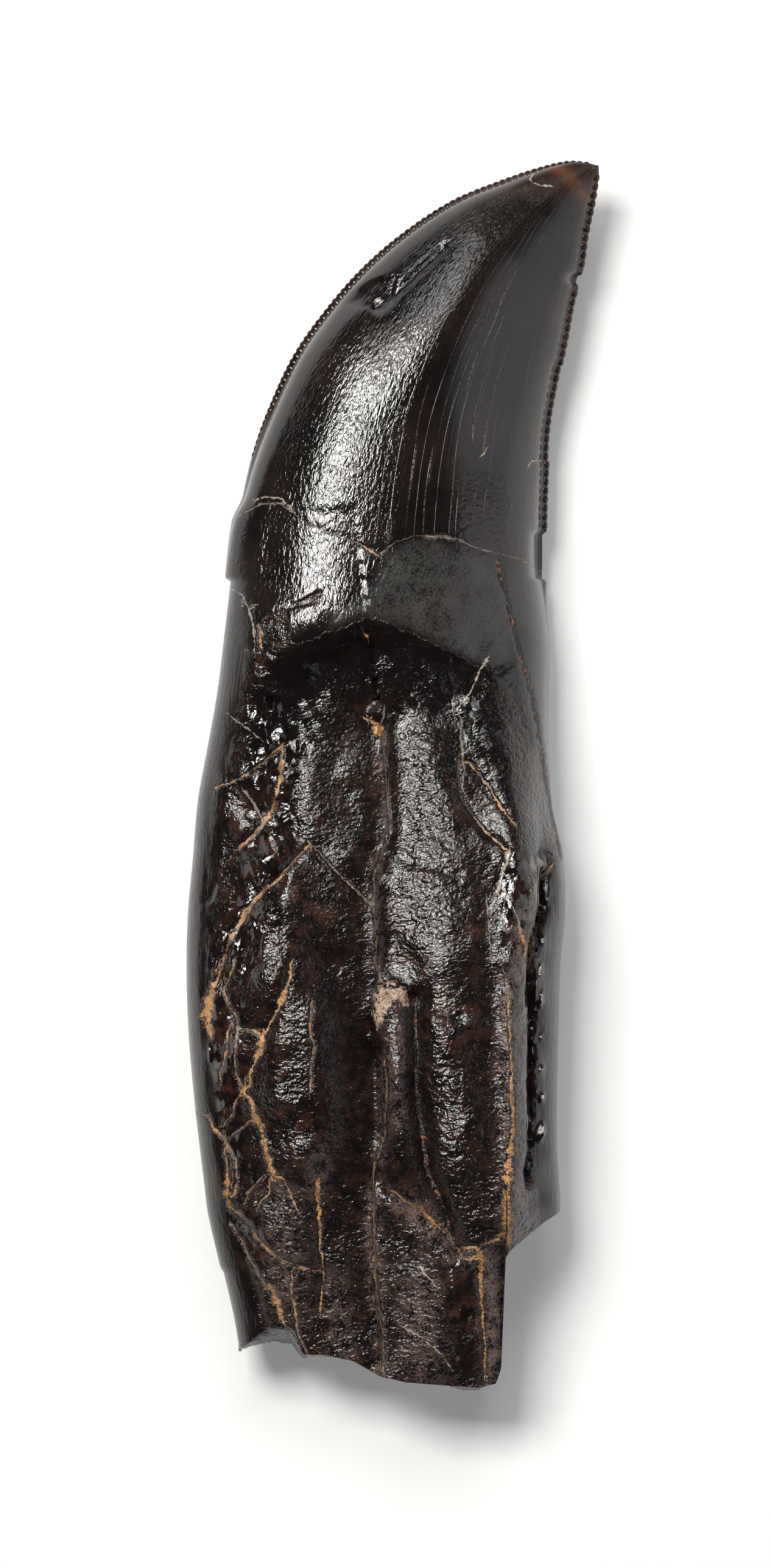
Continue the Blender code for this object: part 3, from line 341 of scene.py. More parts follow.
# Cracks filled with tan mineral: tint, 0 dull to 1 bright, and points x, y and half width.
VEINS = [
    (0.8, [(-11.0, -1.0, 0.03), (-9.5, -0.5, 0.06), (-8.1, 0.4, 0.06), (-6.8, 1.6, 0.04)]),
    (0.8, [(-6.8, 1.6, 0.03), (-6.9, -0.4, 0.14), (-7.3, -1.9, 0.06), (-7.7, -2.9, 0.16),
        (-8.4, -3.7, 0.1), (-9.5, -4.8, 0.05)]),
    (0.7, [(-5.2, -4.5, 0.05), (-7.0, -6.6, 0.05), (-8.1, -7.4, 0.1), (-9.1, -8.8, 0.12),
        (-10.1, -10.5, 0.08), (-10.4, -11.6, 0.06), (-10.9, -13.1, 0.1)]),
    (1.0, [(-11.0, -12.8, 0.08), (-11.3, -13.9, 0.22), (-11.5, -14.9, 0.34), (-11.3, -15.8, 0.2),
        (-11.2, -16.3, 0.05)]),
    (0.7, [(-10.6, -11.6, 0.04), (-11.1, -13.0, 0.05)]),
    (0.6, [(-9.7, -11.6, 0.04), (-10.1, -12.8, 0.04), (-10.4, -13.5, 0.04), (-10.1, -14.3, 0.05),
        (-9.6, -15.1, 0.06), (-9.6, -16.2, 0.06), (-9.7, -17.4, 0.05), (-9.7, -18.5, 0.05),
        (-9.3, -19.4, 0.08)]),
    (0.7, [(-9.9, -15.4, 0.04), (-10.2, -16.2, 0.04), (-10.2, -17.1, 0.05), (-10.6, -18.4, 0.04),
        (-10.6, -19.1, 0.03)]),
    (0.8, [(-9.4, -15.8, 0.03), (-8.5, -15.9, 0.05), (-8.0, -16.3, 0.1), (-8.1, -17.0, 0.22),
        (-8.4, -17.7, 0.08), (-8.7, -18.4, 0.09), (-8.8, -19.3, 0.08), (-9.3, -19.7, 0.08)]),
    (0.9, [(-6.2, -11.6, 0.04), (-6.4, -13.0, 0.07), (-6.8, -13.9, 0.11), (-7.0, -14.5, 0.1),
        (-7.5, -15.4, 0.05), (-7.9, -16.2, 0.05)]),
    (0.6, [(-5.0, -14.1, 0.06), (-5.1, -16.1, 0.07), (-4.8, -16.8, 0.03), (-5.1, -18.1, 0.05),
        (-5.0, -18.7, 0.04), (-5.1, -19.7, 0.03)]),
    (0.9, [(-9.3, -19.7, 0.08), (-8.8, -20.1, 0.1), (-8.5, -21.1, 0.15), (-8.1, -21.8, 0.16),
        (-7.9, -22.9, 0.14), (-7.5, -24.5, 0.17), (-7.3, -24.9, 0.12)]),
    (0.7, [(-7.3, -24.9, 0.07), (-6.8, -25.0, 0.06), (-6.4, -25.8, 0.06), (-5.9, -27.0, 0.04)]),
    (0.6, [(-7.5, -24.6, 0.05), (-7.6, -25.3, 0.04), (-7.6, -26.0, 0.04), (-8.1, -26.5, 0.04),
        (-8.3, -26.9, 0.06)]),
    (0.6, [(-8.1, -25.0, 0.03), (-8.5, -25.5, 0.04), (-8.9, -25.9, 0.05), (-9.1, -26.5, 0.05)]),
    (0.6, [(-9.3, -19.7, 0.05), (-9.7, -20.3, 0.04), (-9.9, -21.1, 0.04), (-10.4, -21.8, 0.03)]),
    (0.5, [(-8.8, -21.5, 0.03), (-9.6, -22.2, 0.03), (-10.2, -22.6, 0.03)]),
    (0.6, [(-12.2, -21.1, 0.04), (-11.4, -21.2, 0.05), (-11.1, -22.0, 0.05), (-10.4, -22.7, 0.1),
        (-9.7, -23.9, 0.06), (-9.6, -25.1, 0.05), (-9.8, -26.2, 0.06)]),
    (0.8, [(-10.4, -23.4, 0.05), (-10.2, -24.8, 0.05), (-10.3, -25.8, 0.14), (-10.2, -26.5, 0.15),
        (-10.1, -27.1, 0.06)]),
    (0.6, [(-10.2, -26.8, 0.07), (-9.4, -27.4, 0.07), (-8.8, -28.0, 0.07), (-8.4, -28.8, 0.06),
        (-7.3, -29.9, 0.06), (-6.3, -30.4, 0.08), (-4.9, -30.8, 0.05), (-4.5, -30.8, 0.04)]),
    (0.9, [(-4.6, -25.1, 0.08), (-4.7, -25.6, 0.11), (-4.6, -26.8, 0.11), (-4.5, -28.0, 0.06),
        (-4.5, -29.3, 0.05), (-4.3, -30.6, 0.05), (-4.3, -31.4, 0.05), (-4.4, -32.6, 0.04),
        (-4.5, -33.5, 0.03)]),
    (0.5, [(-10.0, -28.0, 0.06), (-9.2, -29.2, 0.05), (-8.7, -30.4, 0.05), (-8.1, -31.4, 0.05),
        (-7.7, -32.0, 0.06)]),
    (1.0, [(-7.7, -31.7, 0.07), (-7.3, -32.3, 0.22), (-7.1, -33.1, 0.17), (-6.8, -34.1, 0.06)]),
    (0.7, [(-6.2, -30.9, 0.03), (-6.3, -31.8, 0.06), (-6.2, -32.6, 0.07), (-6.0, -33.5, 0.05),
        (-5.9, -34.7, 0.07), (-5.4, -35.9, 0.04)]),
    (0.9, [(7.0, -13.6, 0.04), (7.1, -15.1, 0.06), (7.2, -16.8, 0.06), (7.3, -18.5, 0.07),
        (7.3, -20.3, 0.08), (7.4, -21.6, 0.09), (7.2, -23.6, 0.14), (7.1, -24.4, 0.17),
        (7.0, -26.6, 0.19), (7.0, -27.7, 0.3), (7.1, -29.0, 0.2)]),
    (0.8, [(5.2, -29.4, 0.05), (5.5, -29.9, 0.14), (5.4, -31.6, 0.1), (5.5, -33.2, 0.05),
        (5.7, -35.5, 0.05), (5.7, -37.6, 0.05)]),
    (0.7, [(4.2, 0.6, 0.04), (4.6, 0.6, 0.06), (5.9, -0.9, 0.05), (6.7, -2.3, 0.06),
        (7.5, -3.3, 0.05)]),
    (0.8, [(4.9, -2.7, 0.03), (5.7, -3.7, 0.06), (7.1, -4.9, 0.05)]),
    (-1.0, [(6.5, 12.9, 0.12), (6.6, 12.2, 0.12), (7.0, 10.8, 0.07), (7.5, 8.4, 0.07), (8.4, 5.5, 0.12),
        (9.0, 2.7, 0.13), (9.4, -0.2, 0.13), (10.0, -3.3, 0.1), (10.4, -5.3, 0.08)]),
    (-1.0, [(1.4, -13.9, 0.04), (1.4, -19.4, 0.1), (1.7, -21.6, 0.1), (2.1, -24.4, 0.08),
        (2.9, -26.3, 0.06), (3.9, -29.4, 0.04)]),
    (-1.0, [(4.0, 0.6, 0.03), (4.1, -1.5, 0.05), (5.0, -2.8, 0.04)]),
    (0.9, [(-1.8, 3.3, 0.03), (-1.3, 3.1, 0.1), (-0.9, 2.7, 0.26), (-0.6, 2.2, 0.08)]),
    (0.2, [(-0.6, 2.2, 0.05), (-0.6, 1.4, 0.05), (-0.4, -0.6, 0.03), (-0.2, -3.3, 0.03),
        (-0.7, -5.1, 0.03), (-1.2, -6.4, 0.03), (-1.1, -7.6, 0.02), (-1.2, -8.4, 0.03),
        (-1.0, -10.1, 0.03), (-1.1, -11.7, 0.05), (-0.7, -12.9, 0.05)]),
    (0.4, [(-5.2, -4.3, 0.03), (-3.3, -6.3, 0.04), (-1.3, -8.3, 0.05)]),
    (2.0, [(-1.0, -15.6, 0.1), (-0.75, -14.7, 0.42), (-0.45, -13.9, 0.62), (0.15, -13.6, 0.6),
        (0.6, -14.1, 0.25)]),
    (0.5, [(-0.5, -17.7, 0.04), (-0.4, -19.4, 0.05), (-0.5, -22.4, 0.04), (-1.2, -24.4, 0.05),
        (-1.2, -28.4, 0.07), (-1.1, -29.3, 0.15), (-1.1, -31.1, 0.07), (-0.9, -33.2, 0.05),
        (-0.6, -34.9, 0.05), (-0.6, -37.3, 0.07)]),
    (0.7, [(0.0, -25.8, 0.05), (0.9, -26.6, 0.1), (1.7, -26.8, 0.1), (2.3, -27.6, 0.09),
        (2.9, -28.1, 0.06), (3.9, -29.4, 0.05)]),
    (0.6, [(3.9, -29.4, 0.05), (5.3, -29.2, 0.04), (7.0, -28.6, 0.04)]),
    (0.6, [(3.9, -29.4, 0.05), (4.4, -30.0, 0.06), (5.4, -30.0, 0.05)]),
    (0.8, [(-2.1, 14.0, 0.03), (-1.6, 13.7, 0.05), (-0.9, 13.3, 0.06), (-0.5, 13.6, 0.03)]),
    (0.2, [(2.0, 14.4, 0.04), (3.1, 14.5, 0.07), (4.4, 14.2, 0.04)]),
    (0.9, [(-1.75, 8.5, 0.02), (-1.6, 8.3, 0.09), (-1.5, 8.1, 0.02)]),
    (0.8, [(-8.2, 8.9, 0.03), (-8.1, 8.6, 0.12), (-8.2, 8.2, 0.05), (-8.1, 7.7, 0.06)]),
    (0.5, [(8.4, -6.6, 0.04), (8.7, -8.6, 0.05), (8.6, -10.8, 0.05), (8.4, -12.3, 0.04)]),
    (0.8, [(9.9, -5.8, 0.03), (9.5, -6.2, 0.12), (9.2, -6.5, 0.03)]),
    (0.8, [(7.7, -9.5, 0.03), (7.9, -10.1, 0.12), (8.2, -10.7, 0.06), (8.0, -11.6, 0.04)]),
]
UNDER_VEINS = [
    (0.7, [(-8.6, 8.6, 0.05), (-7.6, 5.0, 0.06), (-8.4, 1.0, 0.05), (-8.7, -6.0, 0.1),
        (-9.0, -12.0, 0.12), (-8.3, -20.0, 0.08), (-7.6, -28.0, 0.1), (-6.8, -35.0, 0.06)]),
    (0.6, [(-8.7, -6.0, 0.05), (-6.0, -8.4, 0.05), (-4.6, -12.0, 0.04), (-4.9, -17.0, 0.05)]),
    (0.8, [(7.9, 3.0, 0.05), (7.7, -6.0, 0.08), (7.5, -14.0, 0.07), (7.3, -21.0, 0.14),
        (7.0, -28.0, 0.2), (6.6, -31.0, 0.08)]),
    (0.5, [(7.6, -10.0, 0.04), (4.8, -12.6, 0.05), (3.0, -17.0, 0.05), (2.2, -24.0, 0.06),
        (1.4, -31.0, 0.06), (1.8, -36.0, 0.05)]),
    (0.5, [(-0.4, 9.0, 0.04), (-1.2, 4.0, 0.07), (-0.6, -2.0, 0.06), (-1.4, -7.0, 0.05),
        (-0.8, -13.0, 0.06), (-2.0, -20.0, 0.05), (-2.2, -27.0, 0.08), (-3.0, -34.5, 0.05)]),
    (0.4, [(-9.0, -17.5, 0.04), (-6.4, -18.0, 0.05), (-4.6, -20.6, 0.04), (-2.0, -21.0, 0.04)]),
    (0.6, [(3.0, -24.0, 0.04), (5.4, -26.0, 0.06), (8.6, -25.2, 0.04)]),
    (0.4, [(-7.0, 14.6, 0.03), (-2.0, 14.0, 0.05), (3.0, 14.6, 0.04), (7.0, 13.6, 0.04)]),
]
# Thin open cracks and scratches, which show pale: the same form.
HAIRLINES = [
    (0.6, [(-8.5, 16.8, 0.04), (-7.7, 16.95, 0.04), (-6.9, 16.8, 0.04), (-6.0, 16.0, 0.04)]),
    (0.5, [(-10.3, 11.4, 0.03), (-9.3, 10.9, 0.04), (-8.9, 10.1, 0.04), (-8.5, 8.6, 0.04),
        (-8.5, 7.3, 0.04)]),
    (0.7, [(-9.3, 10.2, 0.03), (-8.5, 10.3, 0.03)]),
    (0.5, [(-1.9, 12.5, 0.03), (-1.7, 13.2, 0.03)]),
    (0.7, [(8.75, 37.1, 0.02), (8.5, 36.8, 0.03), (8.6, 36.55, 0.03), (9.0, 36.4, 0.03),
        (9.8, 36.3, 0.02)]),
    (0.7, [(1.7, -30.6, 0.05), (2.6, -31.7, 0.03)]),
    (0.8, [(0.4, -34.2, 0.03), (1.7, -34.9, 0.04), (2.3, -35.4, 0.05), (2.9, -35.9, 0.04),
        (3.6, -36.9, 0.03)]),
    (0.5, [(-10.1, 3.5, 0.04), (-8.1, 2.0, 0.03)]),
    (0.7, [(5.8, 6.9, 0.08), (5.3, 6.2, 0.03), (5.1, 5.6, 0.05), (4.7, 4.8, 0.03), (4.0, 3.9, 0.08)]),
    (0.35, [(4.0, 3.9, 0.02), (4.2, 3.0, 0.03), (4.2, 2.0, 0.05), (4.3, 0.9, 0.06), (4.4, 0.2, 0.02),
        (4.2, -1.0, 0.03), (4.9, -2.2, 0.02), (5.5, -2.9, 0.04)]),
    (0.7, [(7.1, -4.9, 0.1), (6.8, -6.1, 0.06), (6.4, -7.4, 0.08)]),
    (0.6, [(6.3, -7.4, 0.04), (7.3, -8.2, 0.03), (7.9, -9.8, 0.03)]),
    (0.4, [(5.7, -7.8, 0.03), (5.9, -9.7, 0.03), (6.0, -11.6, 0.03)]),
    (0.3, [(-0.5, 3.9, 0.04), (-0.7, 3.0, 0.04)]),
    (0.5, [(-9.1, -1.2, 0.04), (-8.5, -2.1, 0.04), (-8.1, -2.9, 0.04)]),
    (0.7, [(5.45, 19.5, 0.02), (5.6, 19.6, 0.03), (5.8, 19.95, 0.02)]),
    (0.7, [(8.4, 18.9, 0.02), (8.6, 19.3, 0.03), (9.2, 19.4, 0.03)]),
]
# The line of the fracture round the crown's base, drawn as a hairline all the way across.
CROWN_BASE_LINE = (0.35, 0.02)

# The translucent amber band across the tip.
AMBER_BAND = [(10.0, 37.6), (10.8, 37.1), (11.5, 36.3), (12.0, 35.5)]
AMBER_HALF_WIDTH = 0.42

# Where the root is dusted with paler, duller mineral: strength, half width and points.
DUST = [
    (0.9, 0.2, [(-0.7, 2.6), (-0.5, -0.6), (-0.3, -3.3), (-1.0, -6.0), (-1.2, -9.0), (-1.0, -12.5)]),
    (0.5, 0.4, [(-0.6, -17.5), (-0.5, -20.5), (-0.9, -24.0)]),
    (0.8, 0.5, [(-1.1, -25.5), (-1.2, -29.0), (-1.0, -33.0), (-0.6, -37.0)]),
    (0.8, 0.8, [(0.2, -26.4), (1.8, -27.4), (3.0, -29.0)]),
    (0.6, 0.8, [(3.4, -29.6), (5.2, -30.2), (6.2, -31.0)]),
    (0.7, 0.6, [(6.0, -31.0), (6.1, -34.0), (6.1, -37.4)]),
    (0.7, 0.7, [(7.0, -13.0), (7.2, -20.0), (7.1, -27.5)]),
    (0.8, 0.7, [(7.8, -25.6), (7.5, -28.5)]),
    (0.5, 0.55, [(-0.1, -14.8), (0.2, -17.0), (0.3, -21.5)]),
    (0.55, 1.5, [(1.6, -31.0), (1.8, -36.5)]),
    (0.5, 1.2, [(-7.0, -26.5), (-6.2, -33.0)]),
    (0.6, 0.7, [(8.0, -9.0), (7.6, -12.5)]),
    (0.6, 0.8, [(-3.6, -31.5), (-3.2, -36.0)]),
    (0.5, 0.8, [(-4.6, -23.6), (-4.8, -25.4)]),
    (0.5, 0.7, [(-7.2, -25.2), (-7.3, -26.5)]),
]
# Where the root's skin lies in fine shingled ripples: strength, half width and points.
RIPPLED = [
    (1.0, 1.7, [(2.6, 1.5), (2.8, -2.0), (2.4, -6.0), (2.4, -9.0)]),
    (1.0, 1.5, [(3.0, -14.8), (2.8, -18.0), (3.4, -22.5)]),
    (0.6, 1.6, [(3.6, -23.5), (4.4, -27.5)]),
    (1.0, 1.3, [(-8.0, -7.2), (-8.0, -12.8)]),
    (0.9, 1.1, [(-5.9, -14.8), (-5.6, -18.8)]),
    (0.8, 1.0, [(-6.6, -20.0), (-6.2, -23.0)]),
    (0.9, 0.7, [(0.1, -15.4), (0.3, -19.0)]),
    (0.5, 1.0, [(7.3, -11.5), (7.0, -14.0)]),
    (0.5, 1.2, [(0.6, -30.0), (1.6, -35.0)]),
    (0.5, 1.0, [(-2.8, -30.5), (-2.6, -35.0)]),
]
RIPPLES_PER_MM = 2.0

# Where the kinds of surface begin and end. First those of the upper face: below the arch and up
# the tooth, from a path as shares of its half width, and inside an outline.
PIT = ((-0.5, 0.5), (3.0, 6.0), (-3.0, 3.0))
WET = (0.5, 1.3)
SMOOTH = (-0.25, 0.15)
GREYED = (-0.3, 0.8)
# Then those of both faces: by station, from an edge, as a share of the way across, and by y.
CROWN_LOOKS = (15.0, 18.0)
FRONT_BARK = ((1.3, 1.9), (11.0, 15.0))
REAR_BARK = ((1.3, 1.8), (-8.0, -4.0))
WRINKLES = ((0.9, 2.0), (0.46, 0.62), (7.0, 9.0))
THREADS = ((0.4, 0.5), (0.72, 0.85), (13.5, 15.5), (20.0, 30.0))
UNDER_DUST = 0.5  # share of the dust that the hidden face has
# The flow, which follows the tooth's growth: how fast it runs across and along, and the upper face's
# third number.
FLOW_ACROSS = 20
FLOW_ALONG = 2.9
FLOW_UPPER = 9.0

# Colours, as linear light.
ENAMEL_DARK = (0.0045, 0.0035, 0.0033)
ENAMEL_BROWN = (0.013, 0.0078, 0.0063)
EDGE_BROWN = (0.06, 0.032, 0.018)
TIP_BROWN = (0.03, 0.014, 0.01)
ROOT_DARK = (0.006, 0.0036, 0.0034)
ROOT_BROWN = (0.021, 0.0095, 0.007)
ROOT_RED = (0.05, 0.019, 0.0125)
DUST_COLOUR = (0.27, 0.185, 0.165)
PATCH_GREY = (0.052, 0.05, 0.047)
VEIN_DULL = (0.15, 0.1, 0.075)
VEIN_BRIGHT = (0.5, 0.24, 0.085)
VEIN_PALE = (0.6, 0.44, 0.3)
VEIN_DARK = (0.05, 0.026, 0.018)
RUST = (0.26, 0.085, 0.035)
PLUG_COLOUR = (0.5, 0.34, 0.25)
HAIR_COLOUR = (0.5, 0.42, 0.35)
THREAD_COLOUR = (0.42, 0.33, 0.26)
THREADS_PER_UNIT = 1.35  # of the flow's first number
AMBER = (0.13, 0.05, 0.018)
BREAK_GREY = (0.045, 0.045, 0.05)
FLOOR_COLOUR = (0.69, 0.69, 0.688)
FLOOR_GLOW = 0.21  # of the light table that the tooth lies on
FLOOR_HALF_SIZE = 1.5  # metres
FLOOR_DROP = 0.02  # below the tooth, so that no two faces lie in one plane
FLOOR_ROUGHNESS = 0.9
FLOOR_GLOSS = 0.1
WORLD_COLOUR = (0.95, 0.97, 1.0)
WORLD_STRENGTH = 0.04

# Heights of the bumps in the material, in millimetres.
WRINKLE_HEIGHT = 0.062
UPPER_WRINKLE_LOSS = 0.012
SKIN_HEIGHT = 0.08
LOW_SKIN_HEIGHT = 0.08
RIPPLED_SKIN_HEIGHT = 0.03
CREASE_HEIGHT = 0.04
LOW_CREASE_HEIGHT = 0.02
SHINGLE_HEIGHT = 0.07
WET_CHIP_HEIGHT = 0.6
PIT_CHIP_HEIGHT = 0.34
GRIT_HEIGHT = 0.03
LEAST_GRIT_HEIGHT = 0.001
SMOOTH_GRIT_HEIGHT = 0.006
BARK_HEIGHT = 0.05
STREAK_HEIGHT = 0.008
FIRM_SKIN_HEIGHT = 0.03
THREAD_HEIGHT = 0.008
VEIN_HEIGHT = 0.02
GROOVE_DEPTH = 0.06
HAIR_DEPTH = 0.03
# Roughness of the glossiest surface, and what each kind of surface adds to it.
LEAST_ROUGHNESS = 0.095
ROUGHER = {
    "mottled": 0.12, "dusty": 0.3, "veins": 0.4, "firm": 0.05, "wet": -0.06, "bark": 0.12,
    "grey_patch": 0.16,
}
FOSSIL_IOR = 1.56

# Soft lights: direction from the tooth, distance and size in metres, radiance, colour and turn.
LIGHTS = {
    "key softbox": ((-0.34, 0.43, 1.0), 0.6, (0.24, 0.17), 34.0, (1, 0.985, 0.955), -38.0),
    "top strip": ((0.05, 0.82, 1.0), 0.7, (0.3, 0.2), 7.5, (1, 0.99, 0.97), 0.0),
    "rear fill": ((1.0, -0.15, 0.3), 0.8, (0.65, 0.45), 0.95, (0.96, 0.94, 1.0), 0.0),
}

# The photograph's frame, in its pixels, and what one of them measures on the tooth.
IMAGE_SIZE = (1266, 2576)
PIXEL = 0.0378
DESIGN_ORIGIN = (646.0, 1273.5)  # the pixel over X 0, Y 0
FOCUS_HEIGHT = 6.0  # of the plane where a pixel measures that
SENSOR_WIDTH = 36.0
LENS = 200.0
CLIP = (0.01, 10.0)  # metres

REACH = 1.6  # distances to paths are kept up to this
# What the material is told at each point as one number, besides the three vectors.
SURFACE_NUMBERS = (
    "vein_tint", "hair_tint", "enamel_gap", "dust", "smooth", "greyed", "bark", "wrinkled",
    "threads", "from_edge", "crown", "pit", "wet", "rippled", "amber", "broken", "serrated",
)


def smooth_through(knots, values, at):
    """A cubic through the values, its slope at each knot taken from the two neighbours."""
    knots = np.asarray(knots, float)
    values = np.asarray(values, float)
    slopes = np.gradient(values, knots)
    low = np.clip(np.searchsorted(knots, at, side="right") - 1, 0, len(knots) - 2)
    span = knots[low + 1] - knots[low]
    f = (at - knots[low]) / span
    return (
        (2 * f**3 - 3 * f**2 + 1) * values[low]
        + (f**3 - 2 * f**2 + f) * span * slopes[low]
        + (3 * f**2 - 2 * f**3) * values[low + 1]
        + (f**3 - f**2) * span * slopes[low + 1]
    )


def ramp(low, high, at):
    """Rises smoothly from 0 at low to 1 at high."""
    f = np.clip((at - low) / (high - low), 0.0, 1.0)
    return f * f * (3 - 2 * f)


def reading(points, x):
    """y of an outline at x. The outline's points run in order of x."""
    xs, ys = np.array(points, float).T
    return np.interp(x, xs, ys)


def near_path(points, x, y, reach):
    """The places within reach of a path's box, as a mask."""
    low = np.array(points, float)[:, :2].min(axis=0) - reach
    high = np.array(points, float)[:, :2].max(axis=0) + reach
    return (x > low[0]) & (x < high[0]) & (y > low[1]) & (y < high[1])


def path_distance(points, x, y):
    """Distance to a path, its side, positive on the left as it runs, and the third value there."""
    nearest = np.full(np.shape(x), 1e9)
    side = np.zeros(np.shape(x))
    third = np.zeros(np.shape(x))
    for a, b in zip(points[:-1], points[1:]):
        along_x = b[0] - a[0]
        along_y = b[1] - a[1]
        share = ((x - a[0]) * along_x + (y - a[1]) * along_y) / (along_x**2 + along_y**2)
        share = np.clip(share, 0.0, 1.0)
        away_x = x - a[0] - share * along_x
        away_y = y - a[1] - share * along_y
        away = np.hypot(away_x, away_y)
        closer = away < nearest
        nearest = np.where(closer, away, nearest)
        side = np.where(closer, np.sign(along_x * away_y - along_y * away_x), side)
        if len(a) > 2:
            third = np.where(closer, a[2] + (b[2] - a[2]) * share, third)
    return nearest, side, third


def depth_inside(outline, x, y):
    """Distance to the edge of a closed outline, positive inside it."""
    closed = [*outline, outline[0]]
    away, _, _ = path_distance(closed, x, y)
    inside = np.zeros(np.shape(x), bool)
    for a, b in zip(closed[:-1], closed[1:]):
        spans = (a[1] > y) != (b[1] > y)
        rise = b[1] - a[1] if b[1] != a[1] else 1e-9
        inside ^= spans & (x < (b[0] - a[0]) * (y - a[1]) / rise + a[0])
    return np.where(inside, away, -away)


def lattice(ix, iy, seed):
    """A fixed value from -1 to 1 for each whole-number place."""
    mixed = np.sin(ix * 127.1 + iy * 311.7 + seed * 74.7) * 43758.5453
    return 2 * (mixed - np.floor(mixed)) - 1


def lumps(x, y, size, seed):
    """Smooth lumps from -1 to 1 that are about this size."""
    fx = x / size
    fy = y / size
    ix = np.floor(fx)
    iy = np.floor(fy)
    wx = ramp(0, 1, fx - ix)
    wy = ramp(0, 1, fy - iy)
    low = lattice(ix, iy, seed) * (1 - wx) + lattice(ix + 1, iy, seed) * wx
    high = lattice(ix, iy + 1, seed) * (1 - wx) + lattice(ix + 1, iy + 1, seed) * wx
    return low * (1 - wy) + high * wy


def flats(forms, x, y, z):
    """Small faces ground flat, all tilted the same way, over the places that they cover."""
    levelled = z
    for flat_x, flat_y, half_x, half_y in forms:
        away = np.hypot((x - flat_x) / half_x, (y - flat_y) / half_y)
        share = 1 - ramp(0.8, 1.1, away)
        inside = away < 1
        if inside.sum() > 3:
            plane = FLAT_SLOPE[0] * (x - flat_x) + FLAT_SLOPE[1] * (y - flat_y)
            level = np.percentile((z - plane)[inside], 85)
            levelled = levelled + share * (level + plane - levelled)
    return levelled


def facets(x, y, size, seed):
    """Tilted flat plates, from about -1 to 1, with small steps between them."""
    fx = x / size
    fy = y / size
    nearest = np.full(np.shape(x), 1e9)
    height = np.zeros(np.shape(x))
    for shift_x in (-1, 0, 1):
        for shift_y in (-1, 0, 1):
            ix = np.floor(fx) + shift_x
            iy = np.floor(fy) + shift_y
            away_x = fx - ix - 0.5 - 0.45 * lattice(ix, iy, seed)
            away_y = fy - iy - 0.5 - 0.45 * lattice(ix, iy, seed + 1)
            away = np.hypot(away_x, away_y)
            slope_x = 1.1 * lattice(ix, iy, seed + 2)
            slope_y = 1.1 * lattice(ix, iy, seed + 3)
            plate = 0.5 * lattice(ix, iy, seed + 4) + slope_x * away_x + slope_y * away_y
            closer = away < nearest
            height = np.where(closer, plate, height)
            nearest = np.where(closer, away, nearest)
    return height


def station_values(s):
    """Edges and heights at a place s along the tooth, counted in stations."""
    knots = np.arange(len(STATIONS))
    return [smooth_through(knots, column, s) for column in STATIONS.T]


def chord_point(s, t):
    """x and y of the point a share t of the way from the front edge to the rear edge."""
    front_x, front_y, rear_x, rear_y = station_values(s)[:4]
    return front_x + (rear_x - front_x) * t, front_y + (rear_y - front_y) * t


def station_on(outline, t, lowest, highest):
    """Where the line of points at share t crosses an outline."""
    s = np.linspace(lowest, highest, OUTLINE_SAMPLES)
    x, y = chord_point(s, t)
    above = y - reading(outline, x)
    first = int(np.argmax(above >= 0))
    if first == 0:
        return lowest
    share = above[first - 1] / (above[first - 1] - above[first])
    return s[first - 1] + share * (s[first] - s[first - 1])


def crown_share(s):
    """0 in the root and 1 in the crown, where the section has blades instead of round edges."""
    return ramp(*CROWN_STARTS, s)


def rear_blade_share(s):
    """The same for the rear cutting edge."""
    return ramp(*REAR_BLADE_STARTS, s)


def for_crown(pair, s):
    """A value of the root, with what the crown adds to it."""
    return pair[0] + pair[1] * crown_share(s)


def body_profile(t, s):
    """Height of the section, 0 to 1, at share t from front edge to rear edge."""
    even = t ** (math.log(0.5) / np.log(for_crown(CREST, s)))
    front_round = for_crown(FRONT_ROUND, s)
    roundness = front_round + (for_crown(REAR_ROUND, s) - front_round) * ramp(0.2, 0.85, even)
    inside = 1 - np.abs(2 * even - 1) ** for_crown(FLATNESS, s)
    return np.clip(inside, 0, 1) ** (1 / roundness)


def edge_change(rear, y):
    """How far the chips and swellings of an edge move it out."""
    moved = np.zeros(np.shape(y))
    for low, high, out, softness in REAR_EDGE_CHANGES if rear else FRONT_EDGE_CHANGES:
        started = ramp(low - EDGE_STEP, low + EDGE_STEP, y)
        ended = ramp(high - softness, high + softness, y)
        moved = moved + out * started * (1 - ended)
    return moved


def outward(s, rear):
    """Unit vector out of the tooth at an edge, square to that edge."""
    step = 0.02
    low = np.array(chord_point(np.maximum(s - step, 0), float(rear)))
    high = np.array(chord_point(s + step, float(rear)))
    along = (high - low) / np.linalg.norm(high - low, axis=0)
    return np.array([along[1], -along[0]]) if rear else np.array([-along[1], along[0]])


def edge_point(s, rear):
    """x and y of the edge with its chips."""
    x, y = chord_point(s, float(rear))
    out = outward(s, rear)
    change = edge_change(rear, y)
    return x + out[0] * change, y + out[1] * change


def edge_moved(s, from_edge, rear):
    """How far the chips of an edge move a point that is this far inside it."""
    _, y = chord_point(s, float(rear))
    return edge_change(rear, y) * np.exp(-((from_edge / CHIP_REACH) ** 2))


def ridges(forms, x, y):
    """Rounded ridges and grooves along paths, whose points may each scale the height."""
    added = np.zeros(np.shape(x))
    for points, half_width, height in forms:
        near = near_path(points, x, y, 3 * half_width)
        away, _, scale = path_distance(points, x[near], y[near])
        scale = scale if len(points[0]) > 2 else 1.0
        added[near] += height * scale * np.exp(-((away / half_width) ** 2))
    return added


def domes(forms, x, y):
    """Rounded bodies along paths, whose sides are steep at the foot."""
    added = np.zeros(np.shape(x))
    for points, half_width, height in forms:
        near = near_path(points, x, y, half_width)
        away, _, _ = path_distance(points, x[near], y[near])
        added[near] += height * np.sqrt(np.clip(1 - (away / half_width) ** 2, 0, 1))
    return added


